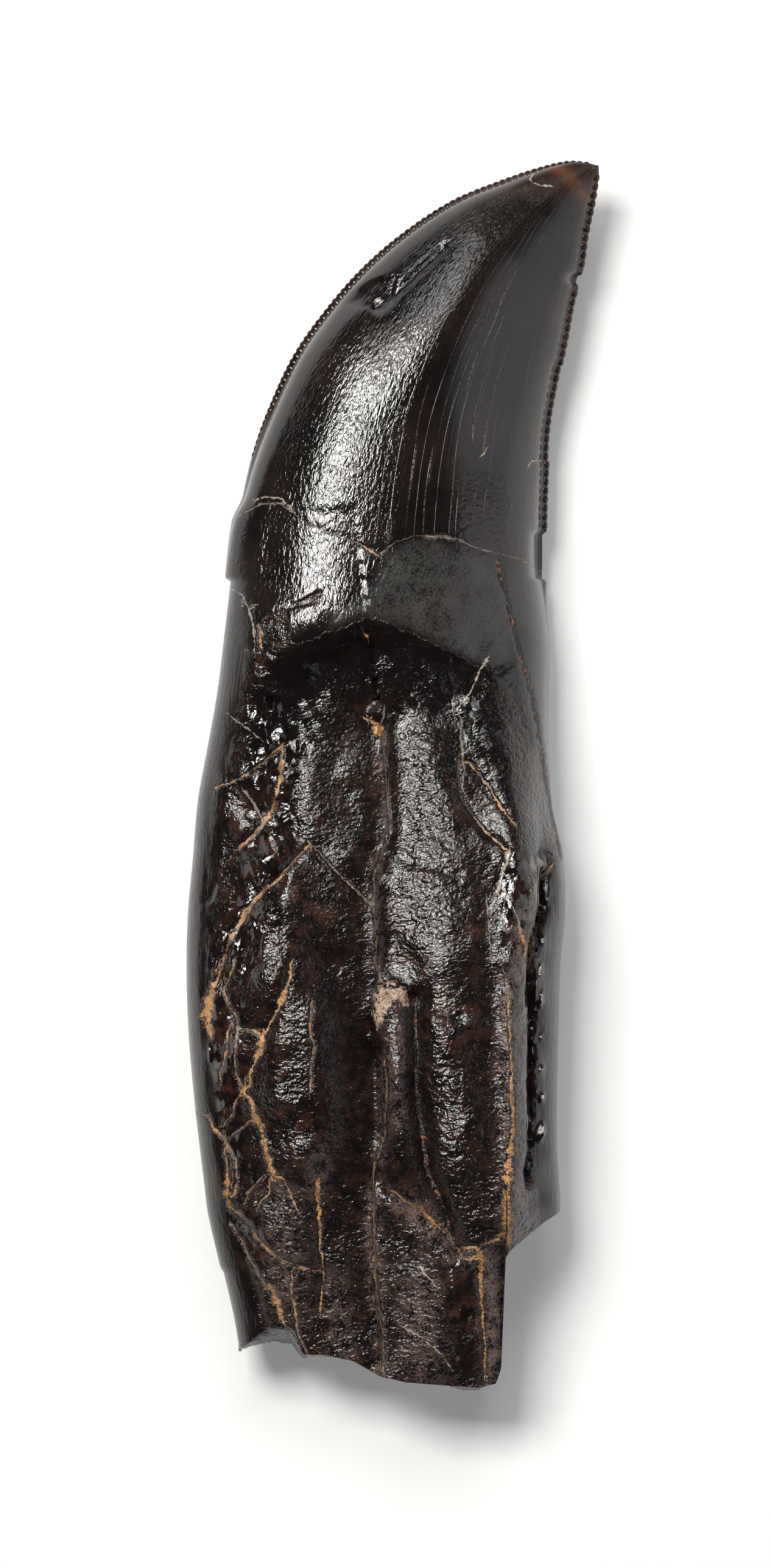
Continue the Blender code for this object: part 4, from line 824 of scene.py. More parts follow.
def ledges(forms, x, y):
    """Steps along paths: the left side is raised, and sinks back over its reach."""
    added = np.zeros(np.shape(x))
    for points, height, reach in forms:
        near = near_path(points, x, y, 3 * reach)
        away, side, _ = path_distance(points, x[near], y[near])
        ends = ramp(0.0, 0.8, np.hypot(x[near] - points[0][0], y[near] - points[0][1]))
        ends = ends * ramp(0.0, 0.8, np.hypot(x[near] - points[-1][0], y[near] - points[-1][1]))
        step = ramp(-0.08, 0.08, away * side)
        added[near] += height * step * np.exp(-away / reach) * ends
    return added


def shattered(forms, x, y):
    """Small flat facets within reach of paths."""
    added = np.zeros(np.shape(x))
    for number, (points, half_width, height) in enumerate(forms):
        near = near_path(points, x, y, 1.6 * half_width)
        away, _, _ = path_distance(points, x[near], y[near])
        share = 1 - ramp(0.6 * half_width, 1.5 * half_width, away)
        plates = facets(x[near], y[near] * 0.7, 1.1, 10 + 7 * number)
        chips = facets(x[near], y[near] * 0.8, 0.6, 12 + 7 * number)
        added[near] += height * share * (0.7 * plates + 0.25 * chips)
    return added


def leather(x, y, seed):
    """The root's lumpy skin, -1 to 1 or so."""
    turned_x = 0.8 * x + 0.6 * y
    turned_y = 0.8 * y - 0.6 * x
    return (
        0.5 * lumps(turned_x, turned_y, 1.2, seed)
        + 0.35 * lumps(turned_y, x, 0.7, seed + 1)
        + 0.25 * lumps(turned_x, y, 0.42, seed + 2)
    )


def knobs(forms, x, y):
    """Round swellings."""
    added = np.zeros(np.shape(x))
    for knob_x, knob_y, radius, height in forms:
        added += height * np.exp(-((x - knob_x) ** 2 + (y - knob_y) ** 2) / radius**2)
    return added


def root_lumps(forms, x, y):
    """Lumps of several sizes, which fade out at the crown's base."""
    added = sum(height * lumps(x, y, size, seed) for height, size, seed in forms)
    return added * (1 - ramp(*ROOT_ENDS, y))


def under_arch(x, y):
    """How far a place is below the arch, and negative above it."""
    away, side, _ = path_distance(ARCH, x, y)
    return -away * side


def enamel_lip(x, y):
    """The ragged lower edge of the enamel, which stands above the root."""
    grows, fades = ENAMEL_LIP
    away, side, _ = path_distance(ENAMEL_EDGE, x, y)
    ragged = 0.12 * lumps(x, y, 0.5, 31)
    coated = ramp(-0.12, 0.12, away * side + ragged) * ramp(*grows, y)
    return ENAMEL_THICKNESS * coated * (1 - ramp(*fades, y))


def flake_scar(x, y):
    """Depth of the flake scar and its hatching."""
    height, pitch, slant = HATCH
    hatch = np.sin((y - slant * x) * 2 * math.pi / pitch) + 0.6 * lumps(x, 3 * y, 0.5, 71)
    return ramp(0.0, 0.3, depth_inside(FLAKE, x, y)) * (FLAKE_DEPTH + height * hatch)


def upper_relief(x, y):
    """Height added to the upper face."""
    added = ridges(UPPER_FORMS + FINE_FORMS, x, y) + domes(DOMES, x, y) + knobs(KNOBS, x, y)
    added = added + ledges(LEDGES, x, y) + shattered(SHATTERED, x, y)
    down = under_arch(x, y) / ARCH_WIDTH
    below = ramp(*ARCH_SLOPE, down)
    added = added - ARCH_DROP * below * np.interp(y, ARCH_FADE, (0.0, 1.0))
    calm = 1 - ARCH_CALM * below * (1 - ramp(0.9, 1.6, down)) * ramp(-3.0, 3.0, y)
    hide = HIDE_HEIGHT + LOW_HIDE_HEIGHT * (1 - ramp(*LOW_ROOT, y))
    hide = hide * (1 - ramp(*HIDE_ENDS, y)) * leather(x, y, 20)
    added = added + calm * (root_lumps(UPPER_LUMPS, x, y) + hide)
    added = added + enamel_lip(x, y) - flake_scar(x, y)
    added = added - END_FACET_SLOPE * np.clip(depth_inside(END_FACET, x, y), 0, END_FACET_REACH)
    above_fracture = y > reading(CROWN_BASE, x) - 1e-6
    return added + CROWN_BASE_STEP * above_fracture * (1 - ramp(*CROWN_STEP_FADE, y))


def lower_relief(x, y):
    """Depth added to the lower face."""
    added = ridges(LOWER_FORMS, x, y) + ledges(LOWER_LEDGES, x, y)
    added = added + root_lumps(LOWER_LUMPS, x, y)
    return added + HIDE_HEIGHT * (1 - ramp(*HIDE_ENDS, y)) * leather(x, y, 40)


def rounded_shares(columns):
    """Shares t of the columns where both edges are round: close together at the edges and just
    past the wall of the missing corner, which has three quarters of them before it."""
    even = 0.5 - 0.5 * np.cos(np.linspace(0, np.pi, columns + 1))
    at_wall = even[columns * 3 // 4]
    past = np.clip((even - at_wall) / (1 - at_wall), 0, 1)
    return np.where(past > 0, WALL_SHARE + (1 - WALL_SHARE) * past**1.4, even * WALL_SHARE / at_wall)


def row_stations(shares, outline_break):
    """The station of every point, as an array of rows by columns, from the break to the tip."""
    starts = np.array([station_on(outline_break, t, 0.0, ROW_LINE) for t in shares])
    bases = np.array([station_on(CROWN_BASE, t, *CROWN_BASE_STATIONS) for t in shares])
    last = len(STATIONS) - 1.0
    rows = [starts + (ROW_LINE - starts) * f for f in np.linspace(0, 1, BREAK_ROWS + 1)[:-1]]
    rows += [ROW_LINE + (bases - ROW_LINE) * f for f in np.linspace(0, 1, ROOT_ROWS + 1)[:-1]]
    rows += [bases + (last - bases) * f for f in np.linspace(0, 1, CROWN_ROWS + 1)]
    return np.array(rows)


def face_grid(columns, outline_break):
    """Stations and shares of one face's points. Between the blades the shares are nearly even."""
    rounded = rounded_shares(columns)
    stations = row_stations(rounded, outline_break)
    evened = 0.75 * crown_share(stations[:, columns // 2])[:, None]
    shares = rounded * (1 - evened) + np.linspace(0, 1, columns + 1) * evened
    moved = [np.interp(share, rounded, row) for share, row in zip(shares, stations)]
    return np.array(moved), shares


def across_blades(shares):
    """Shares across the body between the blades, up the front blade and up the rear blade."""
    first = shares[:, [BLADE_COLUMNS]]
    last = shares[:, [-1 - BLADE_COLUMNS]]
    inner = np.clip((shares - first) / (last - first), 0, 1)
    return inner, np.clip(shares / first, 0, 1), np.clip((1 - shares) / (1 - last), 0, 1)


def share_bladed(stations, shares):
    """How far a place belongs to the section with blades, from 0 to 1."""
    return crown_share(stations) * (1 - shares) + rear_blade_share(stations) * shares


def spread_places(stations, shares):
    """x and y of one face's points, and how wide the tooth is there."""
    front = np.array(chord_point(stations, 0.0))
    rear = np.array(chord_point(stations, 1.0))
    across = rear - front
    width = np.linalg.norm(across, axis=0)
    blade = across / width * BLADE_WIDTH * np.minimum(1.0, width / FULL_BLADE_WIDTH)
    foot_front = front + blade * crown_share(stations)
    foot_rear = rear - blade * rear_blade_share(stations)
    inner, up_front, up_rear = across_blades(shares)
    bladed = foot_front + (foot_rear - foot_front) * inner
    bladed = front + (bladed - front) * np.where(inner > 0, 1, up_front)
    bladed = rear + (bladed - rear) * np.where(inner < 1, 1, up_rear)
    plain = front + across * shares
    place = plain + (bladed - plain) * share_bladed(stations, shares)
    place = place + outward(stations, False) * edge_moved(stations, shares * width, False)
    place = place + outward(stations, True) * edge_moved(stations, (1 - shares) * width, True)
    return place, width


def smooth_rise(stations, shares, height, width):
    """How far one face stands off the middle before its relief is added."""
    inner, up_front, up_rear = across_blades(shares)
    plain = height * body_profile(shares, stations)
    foot = BLADE_HALF_THICKNESS * np.minimum(1.0, width / FULL_BLADE_WIDTH)
    bladed = foot + np.maximum(height - foot, 0) * body_profile(inner, stations)
    bladed = bladed * np.minimum(up_front, up_rear)
    return plain + (bladed - plain) * share_bladed(stations, shares)


def section(stations, shares, upper):
    """Places of one face's points, and how wide the tooth is there, in millimetres."""
    (x, y), width = spread_places(stations, shares)
    *_, rise_above, depth_below, front_z, rear_z = station_values(stations)
    middle = front_z + (rear_z - front_z) * shares**REAR_SAG
    rise = smooth_rise(stations, shares, rise_above if upper else depth_below, width)
    relief = upper_relief(x, y) if upper else lower_relief(x, y)
    front_fade, rear_fade = RELIEF_FADES
    relief = relief * ramp(0.0, front_fade, shares) * ramp(0.0, rear_fade, 1 - shares)
    rise = np.maximum(rise + relief, LEAST_RISE * rise)
    rise[:, [0, -1]] = 0.0
    z = flats(FLATS, x, y, middle + rise) if upper else np.maximum(middle - rise, 0.0)
    return np.stack([x, y, z], axis=-1), width


def lines_near(lines, x, y):
    """Signed distance, distance and half width of the nearest filled crack, and its tint."""
    found = np.tile([REACH, REACH, 0.0], (len(x), 1))
    tint = np.zeros(len(x))
    for line_tint, points in lines:
        near = np.flatnonzero(near_path(points, x, y, REACH))
        away, side, wide = path_distance(points, x[near], y[near])
        closer = away - wide < found[near, 1] - found[near, 2]
        found[near[closer]] = np.column_stack([away * side, away, wide])[closer]
        tint[near[closer]] = line_tint
    return found, tint


def strongest(rows, x, y, power):
    """The most that any row gives: its strength on its path, fading at its half width."""
    most = np.zeros(len(x))
    for strength, half_width, points in rows:
        away, _, _ = path_distance(points, x, y)
        most = np.maximum(most, strength * np.exp(-((away / half_width) ** power)))
    return most


class Skin:
    """The vertices, faces and surface values of the tooth as they are made."""

    def __init__(self):
        self.places = []
        self.faces = []
        self.values = []
        self.count = 0

    def add(self, places, values):
        """Adds points with their surface values and returns their numbers."""
        self.places.append(places)
        self.values.append(values)
        numbers = np.arange(self.count, self.count + len(places))
        self.count += len(places)
        return numbers

    def quads(self, grid, turned=False):
        """Faces between the rows of a grid of point numbers."""
        corners = [grid[:-1, :-1], grid[:-1, 1:], grid[1:, 1:], grid[1:, :-1]]
        if turned:
            corners = corners[::-1]
        self.faces += np.stack([c.ravel() for c in corners], axis=1).tolist()

    def mesh(self, name):
        """The whole as one mesh in metres, centred across and along, with its lowest point at z 0."""
        places = np.concatenate(self.places)
        middle = (places.min(axis=0) + places.max(axis=0)) / 2
        middle[2] = places[:, 2].min()
        data = bpy.data.meshes.new(name)
        data.from_pydata(((places - middle) * MM).tolist(), [], self.faces)
        for key in self.values[0]:
            column = np.concatenate([values[key] for values in self.values]).astype(np.float32)
            kind = "FLOAT_VECTOR" if column.ndim == 2 else "FLOAT"
            attribute = data.attributes.new(key, kind, "POINT")
            field = "vector" if column.ndim == 2 else "value"
            attribute.data.foreach_set(field, column.ravel())
        return data


def even_values(count, **known):
    """Surface values that are the same all over a body with this many points."""
    numbers = dict.fromkeys(SURFACE_NUMBERS, 0.0)
    numbers.update(from_edge=4.0, enamel_gap=-REACH)
    numbers.update(known)
    far = np.tile([REACH, REACH, 0.0], (count, 1))
    values = {"flow": np.zeros((count, 3)), "veins": far, "hairs": far}
    values.update({name: np.full(count, number) for name, number in numbers.items()})
    return values


def upper_values(x, y):
    """The surface values that only the upper face has."""
    wet = np.zeros(len(x))
    for points, half_width, _ in SHATTERED:
        away, _, _ = path_distance(points, x, y)
        wet = np.maximum(wet, 1 - ramp(WET[0] * half_width, WET[1] * half_width, away))
    down = under_arch(x, y)
    starts, ends, grows = PIT
    return {
        "pit": ramp(*starts, down) * (1 - ramp(*ends, down)) * ramp(*grows, y),
        "smooth": ramp(*SMOOTH, depth_inside(SMOOTH_ENAMEL, x, y)),
        "greyed": ramp(*GREYED, depth_inside(GREY_PATCH, x, y)),
        "wet": wet,
        "rippled": strongest(RIPPLED, x, y, 4),
    }


def barky(margin, from_edge, y):
    """The rough margin of the root along one edge, which ends up the tooth."""
    fades, ends = margin
    return (1 - ramp(*fades, from_edge)) * (1 - ramp(*ends, y))


def wrinkles_and_threads(from_front, shares, y):
    """The crown's wrinkled front half, and the fine threads of its rear half."""
    starts, ends, rises = WRINKLES
    wrinkled = ramp(*starts, from_front) * (1 - ramp(*ends, shares)) * ramp(*rises, y)
    starts, thins, rises, fades = THREADS
    threads = ramp(*starts, shares) * (1 - 0.7 * ramp(*thins, shares))
    return wrinkled, threads * ramp(*rises, y) * (1 - 0.6 * ramp(*fades, y))


def surface_values(places, stations, shares, width, upper):
    """What the material needs to know at each point of a face."""
    x, y = places[:, 0], places[:, 1]
    from_front = shares * width
    from_rear = (1 - shares) * width
    values = even_values(len(x), **(upper_values(x, y) if upper else {}))
    third = np.full(len(x), FLOW_UPPER * upper)
    values["flow"] = np.column_stack([FLOW_ACROSS * shares, stations * FLOW_ALONG, third])
    values["veins"], values["vein_tint"] = lines_near(VEINS if upper else UNDER_VEINS, x, y)
    base_tint, base_width = CROWN_BASE_LINE
    base_line = (base_tint, [(*point, base_width) for point in CROWN_BASE])
    hairlines = [*HAIRLINES, base_line] if upper else [base_line]
    values["hairs"], values["hair_tint"] = lines_near(hairlines, x, y)
    away, side, _ = path_distance(ENAMEL_EDGE if upper else UNDER_ENAMEL_EDGE, x, y)
    values["enamel_gap"] = np.clip(away * side, -REACH, REACH)
    values["dust"] = strongest(DUST, x, y, 2) * (1.0 if upper else UNDER_DUST)
    values["amber"] = strongest([(1.0, AMBER_HALF_WIDTH, AMBER_BAND)], x, y, 2)
    values["from_edge"] = np.minimum(from_front, from_rear)
    values["crown"] = ramp(*CROWN_LOOKS, stations)
    front_margin = barky(FRONT_BARK, from_front, y)
    values["bark"] = np.maximum(front_margin, barky(REAR_BARK, from_rear, y))
    values["wrinkled"], values["threads"] = wrinkles_and_threads(from_front, shares, y)
    return values


def add_faces(skin):
    """The upper and the lower face, which share their two edges. Returns both grids."""
    stations, shares = face_grid(TOP_COLUMNS, BREAK_UPPER)
    places, width = section(stations, shares, True)
    flat = [a.reshape(-1, *a.shape[2:]) for a in (places, stations, shares, width)]
    numbers = skin.add(flat[0], surface_values(*flat, True))
    upper = numbers.reshape(shares.shape)
    skin.quads(upper)
    edges = stations[:, [0, -1]]
    stations, shares = face_grid(UNDER_COLUMNS, BREAK_LOWER)
    stations[:, [0, -1]] = edges
    places, width = section(stations, shares, False)
    inner = [a[:, 1:-1].reshape(-1, *a.shape[2:]) for a in (places, stations, shares, width)]
    numbers = skin.add(inner[0], surface_values(*inner, False))
    lower = np.empty(shares.shape, int)
    lower[:, 1:-1] = numbers.reshape(len(shares), -1)
    lower[:, 0] = upper[:, 0]
    lower[:, -1] = upper[:, -1]
    skin.quads(lower, turned=True)
    return upper, lower


def close_tip(skin, upper, lower):
    """Faces from the last row of each face to the tip."""
    values = even_values(1, from_edge=0.0, crown=1.0, enamel_gap=REACH)
    tip = int(skin.add(np.array([TIP]), values)[0])
    skin.faces += [[int(a), int(b), tip] for a, b in zip(upper[-1][:-1], upper[-1][1:])]
    skin.faces += [[int(b), int(a), tip] for a, b in zip(lower[-1][:-1], lower[-1][1:])]


def end_offset(x, z, share):
    """How far a point of the broken end moves up the tooth: the pulp hollow, less the bulge."""
    across = (x - PULP_CENTRE[0]) / PULP_HALF_SIZE[0]
    away = np.hypot(across, (z - PULP_CENTRE[1]) / PULP_HALF_SIZE[1])
    ragged = away + PULP_RAGGEDNESS * lumps(x, z, 0.8, 51)
    hollow = PULP_DEPTH * (1 - ramp(0.6, 1.15, ragged))
    bulge = END_BULGE * np.sin(math.pi * share)
    rough = END_ROUGHNESS * (lumps(x, z, 1.5, 9) + 0.5 * facets(x, z, 0.7, 61))
    return (hollow - bulge) * (1 - ramp(*END_WALL, x)) + rough * np.sin(math.pi * share)


def close_end(skin, upper, lower):
    """The broken root end: levels of points from the lower face up to the upper face."""
    places = np.concatenate(skin.places)
    count = len(lower[0]) - 1
    over = places[upper[0][:: TOP_COLUMNS // UNDER_COLUMNS]][1:-1]
    under = places[lower[0]][1:-1]
    grid = [lower[0]]
    for level in range(1, END_LEVELS):
        share = level / END_LEVELS
        row = under + (over - under) * share
        in_wall = ramp(*END_WALL, row[:, 0]) * math.sin(math.pi * share)
        row[:, 1] += end_offset(row[:, 0], row[:, 2], share)
        row[:, 0] -= WALL_ROUGHNESS * in_wall * (1 + lumps(row[:, 1], row[:, 2], 2.0, 11))
        numbers = skin.add(row, even_values(count - 1, broken=1.0))
        grid.append(np.concatenate([lower[0][:1], numbers, lower[0][-1:]]))
    skin.quads(np.array(grid))
    top = grid[-1]
    every = TOP_COLUMNS // UNDER_COLUMNS
    for i in range(count):
        crossing = upper[0][i * every : (i + 1) * every + 1][::-1]
        corners = [int(top[i]), int(top[i + 1]), *[int(n) for n in crossing]]
        skin.faces.append([c for k, c in enumerate(corners) if c != corners[k - 1]])


def boxy(value):
    """A sine or cosine drawn out towards -1 and 1, so that a ball becomes a rounded box."""
    return np.sign(value) * np.abs(value) ** SERRATION_BOXINESS


def rounded_box(around, levels):
    """Points of a rounded box from -1 to 1: the lowest one, rings from low to high, the top one."""
    turns = np.linspace(0, 2 * math.pi, around, endpoint=False)
    tilts = np.linspace(-math.pi / 2, math.pi / 2, levels + 1)[1:-1]
    points = [(0, 0, -1)]
    for tilt in tilts:
        reach = boxy(math.cos(tilt))
        up = boxy(math.sin(tilt))
        points += [(reach * boxy(math.cos(a)), reach * boxy(math.sin(a)), up) for a in turns]
    return np.array([*points, (0, 0, 1)], float)


def add_serration(skin, centre, out, pitch, stands_out, size):
    """One rounded chisel across the cutting edge, as a small closed body."""
    around, levels = SERRATION_ROUND
    half_out = (stands_out + SERRATION_DEPTH_IN) / 2 * size
    half_along = 0.5 * pitch * SERRATION_FILL
    box = rounded_box(around, levels)
    half_up = SERRATION_HALF_HEIGHT * size * (1 - SERRATION_TAPER * (box[:, 0] + 1) / 2)
    along = np.array([-out[1], out[0]])
    middle = np.array(centre[:2]) + np.array(out) * (stands_out - half_out)
    flat = middle + np.outer(box[:, 0] * half_out, out) + np.outer(box[:, 1] * half_along, along)
    places = np.column_stack([flat, centre[2] + box[:, 2] * half_up])
    values = even_values(len(places), serrated=1.0, crown=1.0, enamel_gap=REACH, from_edge=0.0)
    numbers = skin.add(places, values)
    rings = numbers[1:-1].reshape(levels - 1, around)
    closed = np.column_stack([rings, rings[:, :1]])
    skin.quads(closed)
    lowest, highest = int(numbers[0]), int(numbers[-1])
    for i in range(around):
        skin.faces.append([lowest, int(closed[0][i + 1]), int(closed[0][i])])
        skin.faces.append([highest, int(closed[-1][i]), int(closed[-1][i + 1])])


def add_serrations(skin, rear):
    """The row of serrations along one cutting edge, without those of the notch near the tip."""
    pitch, stands_out, lowest, highest = REAR_SERRATIONS if rear else FRONT_SERRATIONS
    s = np.linspace(SERRATIONS_START, len(STATIONS) - 1.0, EDGE_SAMPLES)
    x, y = edge_point(s, rear)
    kept = (y > lowest) & (y < highest)
    s, x, y = s[kept], x[kept], y[kept]
    run = np.concatenate([[0], np.cumsum(np.hypot(np.diff(x), np.diff(y)))])
    notch = REAR_EDGE_CHANGES[0]
    for number, at in enumerate(np.arange(pitch / 2, run[-1], pitch)):
        station = np.interp(at, run, s)
        centre = (*edge_point(station, rear), station_values(station)[-1 if rear else -2])
        if rear and notch[0] - NOTCH_MARGIN < centre[1] < notch[1] + NOTCH_MARGIN:
            continue
        grown = 1.0 if rear else ramp(*FRONT_GROWTH, at)
        varied = 1 + SERRATION_VARIETY * float(lattice(number, 3.0 * rear, 5))
        size = (SERRATION_SIZE[0] + SERRATION_SIZE[1] * grown) * varied
        add_serration(skin, centre, outward(station, rear), pitch, stands_out * size, size)


class Field:
    """A value or colour that varies over a surface, with plain arithmetic."""

    def __init__(self, paint, socket):
        self.paint = paint
        self.socket = socket

    def __add__(self, other):
        return self.paint.maths("ADD", self, other)

    def __sub__(self, other):
        return self.paint.maths("SUBTRACT", self, other)

    def __mul__(self, other):
        return self.paint.maths("MULTIPLY", self, other)

    def __rsub__(self, other):
        return self.paint.maths("SUBTRACT", other, self)

    __radd__ = __add__
    __rmul__ = __mul__

    def __abs__(self):
        return self.paint.maths("ABSOLUTE", self)


class Paint:
    """A material and the fields in its node graph."""

    def __init__(self, name):
        self.material = bpy.data.materials.new(name)
        self.material.use_nodes = True
        self.tree = self.material.node_tree
        self.shader = self.tree.nodes["Principled BSDF"]

    def node(self, kind, **settings):
        """A new node with these settings."""
        made = self.tree.nodes.new(kind)
        for name, value in settings.items():
            setattr(made, name, value)
        return made

    def feed(self, socket, value):
        """Links a field to a socket, or sets a plain value on it."""
        if isinstance(value, Field):
            self.tree.links.new(value.socket, socket)
        else:
            socket.default_value = value

    def maths(self, operation, first, second=0.0):
        """The result of one operation on one or two values."""
        node = self.node("ShaderNodeMath", operation=operation)
        self.feed(node.inputs[0], first)
        self.feed(node.inputs[1], second)
        return Field(self, node.outputs[0])

    def value(self, name):
        """One of the mesh's values that are single numbers."""
        node = self.node("ShaderNodeAttribute", attribute_name=name)
        return Field(self, node.outputs["Fac"])

    def vector(self, name):
        """One of the mesh's values that are vectors."""
        node = self.node("ShaderNodeAttribute", attribute_name=name)
        return Field(self, node.outputs["Vector"])

    def parts(self, field):
        """The three numbers of a vector."""
        node = self.node("ShaderNodeSeparateXYZ")
        self.feed(node.inputs[0], field)
        return [Field(self, socket) for socket in node.outputs]

    def place(self):
        """Where the point is, in millimetres."""
        coordinates = self.node("ShaderNodeTexCoord")
        return self.stretched(Field(self, coordinates.outputs["Object"]), (1000, 1000, 1000))

    def stretched(self, field, by):
        """A vector whose three numbers are each multiplied."""
        node = self.node("ShaderNodeVectorMath", operation="MULTIPLY")
        self.feed(node.inputs[0], field)
        node.inputs[1].default_value = by
        return Field(self, node.outputs[0])

    def noise(self, at, scale, detail=2.0, roughness=0.5, distortion=0.0):
        """Smooth noise about 0.5, with this many lumps a millimetre."""
        node = self.node("ShaderNodeTexNoise")
        self.feed(node.inputs["Vector"], at)
        names = ("Scale", "Detail", "Roughness", "Distortion")
        for name, value in zip(names, (scale, detail, roughness, distortion)):
            node.inputs[name].default_value = value
        return Field(self, node.outputs["Fac"])

    def step(self, value, low, high):
        """Rises smoothly from 0 at low to 1 at high."""
        node = self.node("ShaderNodeMapRange", interpolation_type="SMOOTHSTEP")
        self.feed(node.inputs["Value"], value)
        self.feed(node.inputs["From Min"], low)
        self.feed(node.inputs["From Max"], high)
        return Field(self, node.outputs["Result"])

    def mix(self, share, first, second):
        """From the first colour to the second."""
        node = self.node("ShaderNodeMix", data_type="RGBA")
        self.feed(node.inputs["Factor"], share)
        for name, colour in (("A", first), ("B", second)):
            socket = [i for i in node.inputs if i.name == name and i.type == "RGBA"][0]
            self.feed(socket, colour if isinstance(colour, Field) else (*colour, 1.0))
        outputs = [o for o in node.outputs if o.type == "RGBA"]
        return Field(self, outputs[0])

    def plates(self, at, scale):
        """Height of small flat plates, each tilted its own way."""
        cells = self.node("ShaderNodeTexVoronoi")
        self.feed(cells.inputs["Vector"], at)
        cells.inputs["Scale"].default_value = scale
        from_centre = self.node("ShaderNodeVectorMath", operation="SUBTRACT")
        self.feed(from_centre.inputs[0], at)
        self.feed(from_centre.inputs[1], Field(self, cells.outputs["Position"]))
        tilt = self.node("ShaderNodeVectorMath", operation="SUBTRACT")
        self.feed(tilt.inputs[0], Field(self, cells.outputs["Color"]))
        tilt.inputs[1].default_value = (0.5, 0.5, 0.5)
        product = self.node("ShaderNodeVectorMath", operation="DOT_PRODUCT")
        self.feed(product.inputs[0], Field(self, from_centre.outputs[0]))
        self.feed(product.inputs[1], Field(self, tilt.outputs[0]))
        return Field(self, product.outputs["Value"])

    def line(self, name, place, wander, softness):
        """Masks of an attribute's cracks, whose width and course vary, and of the groove on them."""
        signed, distance, half_width = self.parts(self.vector(name))
        course = (self.noise(place, 1.6, 4.0, 0.65) - 0.5) * wander
        frayed = (self.noise(place, 7.0, 2.0, 0.6) - 0.5) * 0.12
        moved = abs(signed + course + frayed)
        varied = half_width * (self.noise(place, 1.8, 4.0, 0.7) * 6.5 - 2.3)
        width = self.maths("MAXIMUM", varied, -0.02)
        drawn = 1.0 - self.step(moved, width * (1 - softness), width * (1 + softness) + 0.012)
        kept = 1.0 - self.step(distance - half_width, 0.14, 0.28)
        beside = 1.0 - self.step(moved - width, 0.0, 0.16)
        return drawn * kept, beside * kept


def shared_fields(paint):
    """What several parts of the finish draw on: masks from the mesh, noises and drawn lines."""
    at = SimpleNamespace(place=paint.place(), flow=paint.vector("flow"))
    for name in ("bark", "crown", "pit", "rippled", "smooth", "wet", "wrinkled"):
        setattr(at, name, paint.value(name))
    _, at.height, _ = paint.parts(at.place)
    at.lined = paint.stretched(at.flow, (1.0, 0.035, 1.0))
    at.edge_noise = paint.noise(at.place, 1.6, 4.0, 0.6) - 0.5
    at.patchy = paint.noise(at.place, 0.22, 4.0, 0.62)
    at.mottled = paint.noise(at.place, 1.1, 4.0, 0.65)
    at.grit = paint.noise(at.place, 7.0, 2.0, 0.6)
    at.skin = paint.noise(paint.stretched(at.place, (0.85, 1.15, 1.0)), 2.7, 1.0, 0.5, 0.4)
    at.coated = paint.step(paint.value("enamel_gap") + at.edge_noise * 0.7, -0.06, 0.06)
    at.firm = at.coated * (1.0 - at.wrinkled)
    at.dusty = paint.value("dust") * paint.step(at.grit * 0.6 + at.mottled * 0.6, 0.5, 0.72)
    at.greyed = paint.value("greyed") * paint.step(at.mottled * 0.4 + at.grit * 0.6, 0.3, 0.6)
    at.grey_patch = at.greyed * at.coated
    at.veins, at.groove = paint.line("veins", at.place, 0.36, 0.35)
    at.hairs, _ = paint.line("hairs", at.place, 0.4, 0.4)
    at.threads = growth_threads(paint, at)
    return at


def growth_threads(paint, at):
    """Thin lines that run up the crown."""
    wander = paint.noise(at.lined, 0.8, 3.0, 0.6)
    across, _, _ = paint.parts(at.flow)
    counted = across * THREADS_PER_UNIT + (wander - 0.5) * 3.4
    apart = abs(paint.maths("FRACT", counted) - 0.5)
    drawn = (1.0 - paint.step(apart, 0.015, 0.06)) * paint.value("threads")
    return drawn * paint.step(paint.noise(at.lined, 2.3, 3.0, 0.6), 0.36, 0.52)


def root_colour(paint, at):
    """Nearly black to brown, red in places, and dusty; painted shade darkens the hollow and the
    margins.
    """
    root = paint.mix(paint.step(at.mottled, 0.42, 0.66), ROOT_DARK, ROOT_BROWN)
    red = paint.step(at.patchy, 0.5, 0.68) * paint.step(at.mottled, 0.45, 0.6)
    root = paint.mix(red * 0.6, root, ROOT_RED)
    # painted shade: the hollow under the enamel arch is darkened towards near-black
    root = paint.mix(at.pit * 0.9, root, ENAMEL_DARK)
    # painted shade: the margins along both edges are darkened towards near-black
    root = paint.mix(at.bark * 0.7, root, ENAMEL_DARK)
    return paint.mix(at.dusty * 0.7, root, DUST_COLOUR)


def enamel_colour(paint, at):
    """Nearly black, browner at the edges and the tip, with an amber band and a grey patch."""
    enamel = paint.mix(paint.step(at.patchy, 0.4, 0.7), ENAMEL_DARK, ENAMEL_BROWN)
    at_edge = (1.0 - paint.step(paint.value("from_edge"), 0.2, 1.5)) * at.crown
    enamel = paint.mix(at_edge * paint.step(at.mottled, 0.4, 0.7) * 0.45, enamel, EDGE_BROWN)
    worn = paint.step(at.height + at.edge_noise * 1.6, 35.2, 36.6) * at.crown
    enamel = paint.mix(worn * 0.6, enamel, TIP_BROWN)
    enamel = paint.mix(paint.value("amber") * (at.mottled * 1.2 - 0.05), enamel, AMBER)
    red = paint.value("serrated") * paint.step(at.grit, 0.42, 0.62)
    enamel = paint.mix(red * 0.5, enamel, ROOT_RED)
    return paint.mix(at.greyed * 0.75, enamel, PATCH_GREY)


